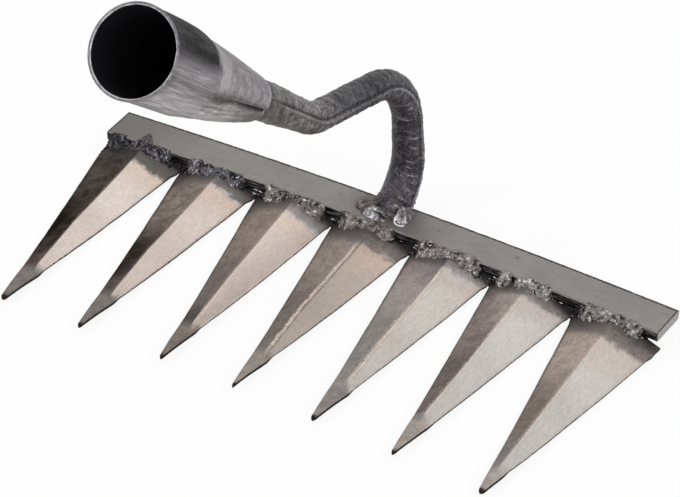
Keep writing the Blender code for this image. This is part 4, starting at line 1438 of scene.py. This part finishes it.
def crescent_places(count):
    """Even places on the bright line at the foot of the wedge."""
    marks = np.linspace(0, 1, len(NECK_CRESCENT))
    shares = np.linspace(0, 1, count)
    return np.transpose([np.interp(shares, marks, row) for row in zip(*NECK_CRESCENT)])


def build_neck_weld():
    rnd = random.Random(NECK_WELD_SEED)
    bm = bmesh.new()
    half_width = NECK_FOOT_RADIUS + NECK_WELD_LEG
    half_length = NECK_FOOT_LENGTH + NECK_WELD_LEG
    bmesh.ops.create_icosphere(bm, subdivisions=4, radius=1.0)
    for vert in bm.verts:
        rise = NECK_WELD_RISE if vert.co.z > 0 else NECK_WELD_DROP
        vert.co = Vector((vert.co.x * half_width, vert.co.y * half_length, vert.co.z * rise)) * NECK_WELD_CORE
    for centre, sizes, turn in NECK_LOBES:
        add_blob(bm, Vector(centre), sizes, (0, 0, turn), detail=4)
    wedge = [bm.verts.new(point) for point in NECK_WEDGE]
    hull = bmesh.ops.convex_hull(bm, input=wedge)
    bmesh.ops.delete(bm, geom=hull["geom_interior"], context="VERTS")
    for x, y in crescent_places(NECK_CRESCENT_DROPS):
        add_blob(bm, Vector((x, y, 0.0002)), (NECK_CRESCENT_SIZE,) * 3)
    for step in range(NECK_WELD_DROPS):
        angle = 2 * math.pi * (step + rnd.uniform(-0.4, 0.4)) / NECK_WELD_DROPS
        out = rnd.uniform(0.84, 0.94)
        centre = Vector((math.cos(angle) * half_width * out, math.sin(angle) * half_length * out, -0.0008))
        reach = rnd.uniform(0.0012, 0.0018) * (0.4 if centre.y > -0.004 else 1.0)
        add_blob(bm, centre, (reach * 1.3, reach, reach * 0.7), (0, 0, angle))
    place = Matrix.Translation(NECK_FOOT)
    mesh = melted("neck_weld_fine", bm, NECK_WELD_VOXEL, NECK_WELD_ROUGH, 60, place)
    new_piece("neck_weld_fine", mesh, neck_weld_steel(), ["neck_weld"])


def neck_weld_steel():
    """The neck's weld: bright lobes at its front, a browned left side and dark scale elsewhere, with painted
    shade on the wedge's right face and in the crevice at the rod's foot, and a painted highlight along the
    crescent.
    """
    g = Graph(bpy.data.materials.new("neck_weld_steel"))
    place = g.place()
    patches = g.noise(place, 0.28, 3, distortion=0.6)
    lumps = g.noise(place, 0.7, 4, 0.6, distortion=0.8)
    grit = g.noise(place, 2.6, 4, 0.6)

    def apart(x, y, z):
        """How far a point is from a place that is given from the rod's foot."""
        return g.vector("DISTANCE", place, (NECK_FOOT + Vector((x, y, z))) / MM)

    tone = lumps * 0.6 + g.read("relief") * 0.25 + grit * 0.25
    colour = g.ramp(tone, (0.35, 62, 56, 55), (0.5, 104, 97, 94), (0.68, 148, 141, 137))
    silver = g.ramp(tone, (0.34, 118, 115, 118), (0.50, 154, 151, 153), (0.62, 206, 203, 204))
    near_lobe = 0.0
    for x, y, z, reach in NECK_SILVER:
        spot = apart(x, y, z).ragged(patches, 0.9).span(reach, reach * 0.8)
        near_lobe = g.calc("MAXIMUM", near_lobe, spot)
    # The wedge's right face is painted darker as painted shade, past its ridge.
    right, back, ridge = NECK_WEDGE_RIDGE
    into_shaded_face = g.vector("DOT_PRODUCT", place, (right, back, 0)) - (ridge + back * NECK_FOOT.y / MM)
    silver.shade(into_shaded_face.ragged(patches, 0.5).span(-0.3, 0.6, 1.0, 0.42))
    colour.cover(silver, near_lobe)
    brown = apart(-0.0062, -0.0080, 0.002).span(4.6, 1.4)
    colour.cover((96, 74, 67), brown, patches.span(0.35, 0.6, 0.3, 0.8))
    foot_shares = (MM / NECK_FOOT_RADIUS, MM / NECK_FOOT_LENGTH, 0.0)
    from_rod = g.vector("LENGTH", g.place(foot_shares, (0.0, -NECK_FOOT.y / NECK_FOOT_LENGTH, 0.0)))
    # Painted shade in the crevice around the rod's foot.
    colour.cover((40, 36, 35), from_rod.span(NECK_CREVICE[1], NECK_CREVICE[0], 0.0, 0.60))
    # A painted highlight along the crescent.
    crescent_highlight = 0.0
    for x, y in crescent_places(8):
        crescent_highlight = g.calc("MAXIMUM", crescent_highlight, apart(x, y, 0.0006).span(1.0, 0.55))
    colour.cover((244, 242, 243), crescent_highlight)
    height = (lumps + grit * 0.2) * near_lobe.span(0.0, 1.0, 1.0, 0.12)
    roughness = near_lobe.span(0.0, 1.0, 0.42, 0.24)
    metallic = near_lobe.span(0.0, 1.0, 0.75, 1.0)
    return g.finish(colour, roughness, metallic, g.bump(height, 0.28, 0.7))


# Stage.
def seen_ray(g):
    """1 for a ray that shows the background: to the camera, in a reflection or through glass."""
    seen = g.value("ShaderNodeLightPath", "Is Camera Ray")
    seen = g.calc("MAXIMUM", seen, g.value("ShaderNodeLightPath", "Is Glossy Ray"))
    return g.calc("MAXIMUM", seen, g.value("ShaderNodeLightPath", "Is Transmission Ray"))


def mix_shaders(g, amount, first, second, output):
    """Ends a graph with a mix of two shaders."""
    both = g.value("ShaderNodeMixShader", 0, {0: amount, 1: first, 2: second})
    g.tree.links.new(both.socket, output.inputs["Surface"])


def build_floor():
    mesh = bpy.data.meshes.new("floor")
    half = FLOOR_SIZE / 2
    corners = [(-half, -half, 0), (half, -half, 0), (half, half, 0), (-half, half, 0)]
    mesh.from_pydata(corners, [], [(0, 1, 2, 3)])
    floor = add_object("floor", mesh)
    floor.location.z = -FLOOR_CLEARANCE
    g = Graph(bpy.data.materials.new("pale_floor"))
    g.tree.nodes.remove(g.tree.nodes["Principled BSDF"])
    lit = g.value("ShaderNodeBsdfDiffuse", 0, {"Color": FLOOR_COLOUR})
    glow = g.value("ShaderNodeEmission", 0, {"Color": WHITE, "Strength": FLOOR_GLOW})
    mix_shaders(g, seen_ray(g) * FLOOR_GLOW_SHARE, lit, glow, g.tree.nodes["Material Output"])
    mesh.materials.append(g.owner)


def build_world():
    g = Graph(bpy.data.worlds.new("studio"))
    g.tree.nodes.clear()
    light = g.value("ShaderNodeBackground", 0, {"Color": WHITE, "Strength": WORLD_LIGHT})
    white = g.value("ShaderNodeBackground", 0, {"Color": WHITE, "Strength": 1.0})
    mix_shaders(g, seen_ray(g), light, white, g.tree.nodes.new("ShaderNodeOutputWorld"))
    bpy.context.scene.world = g.owner


def soft_box(name, direction, distance, size, radiance):
    """A square lamp that faces the head and looks as bright as its radiance."""
    data = bpy.data.lights.new(name, "AREA")
    data.shape = "SQUARE"
    data.size = size
    data.energy = radiance * math.pi * size**2
    lamp = add_object(name, data)
    towards = Vector(direction).normalized()
    lamp.location = LAMP_AIM + towards * distance
    lamp.rotation_euler = towards.to_track_quat("Z", "Y").to_euler()


def build_camera():
    data = bpy.data.cameras.new("camera")
    data.sensor_width = 36
    data.lens = CAMERA_LENS
    data.clip_start = 0.01
    data.clip_end = 20
    camera = add_object("camera", data)
    turn = Matrix((CAMERA_RIGHT, -CAMERA_DOWN, -CAMERA_FORWARD)).transposed()
    camera.matrix_world = Matrix.Translation(CAMERA_PLACE) @ turn.to_4x4()
    bpy.context.scene.camera = camera


def main():
    bpy.context.scene.view_settings.view_transform = "Standard"
    build_camera()
    new_piece("tine_bar_fine", bar_mesh(), bar_steel(), ["tine_bar"])
    for index, tine in enumerate(TINES):
        name = f"tine_{index + 1}"
        new_piece(name + "_fine", tine_mesh(index), tine_steel(name + "_steel", tine, index), [name])
    new_piece("handle_socket_fine", socket_mesh(), socket_steel(), ["handle_socket"])
    new_piece("gooseneck_fine", neck_mesh(), rod_steel(), ["gooseneck"])
    for index in range(TINE_COUNT):
        build_bead(index, "left")
        build_bead(index, "right")
    build_neck_weld()
    build_floor()
    build_world()
    for lamp in LAMPS:
        soft_box(*lamp)


main()
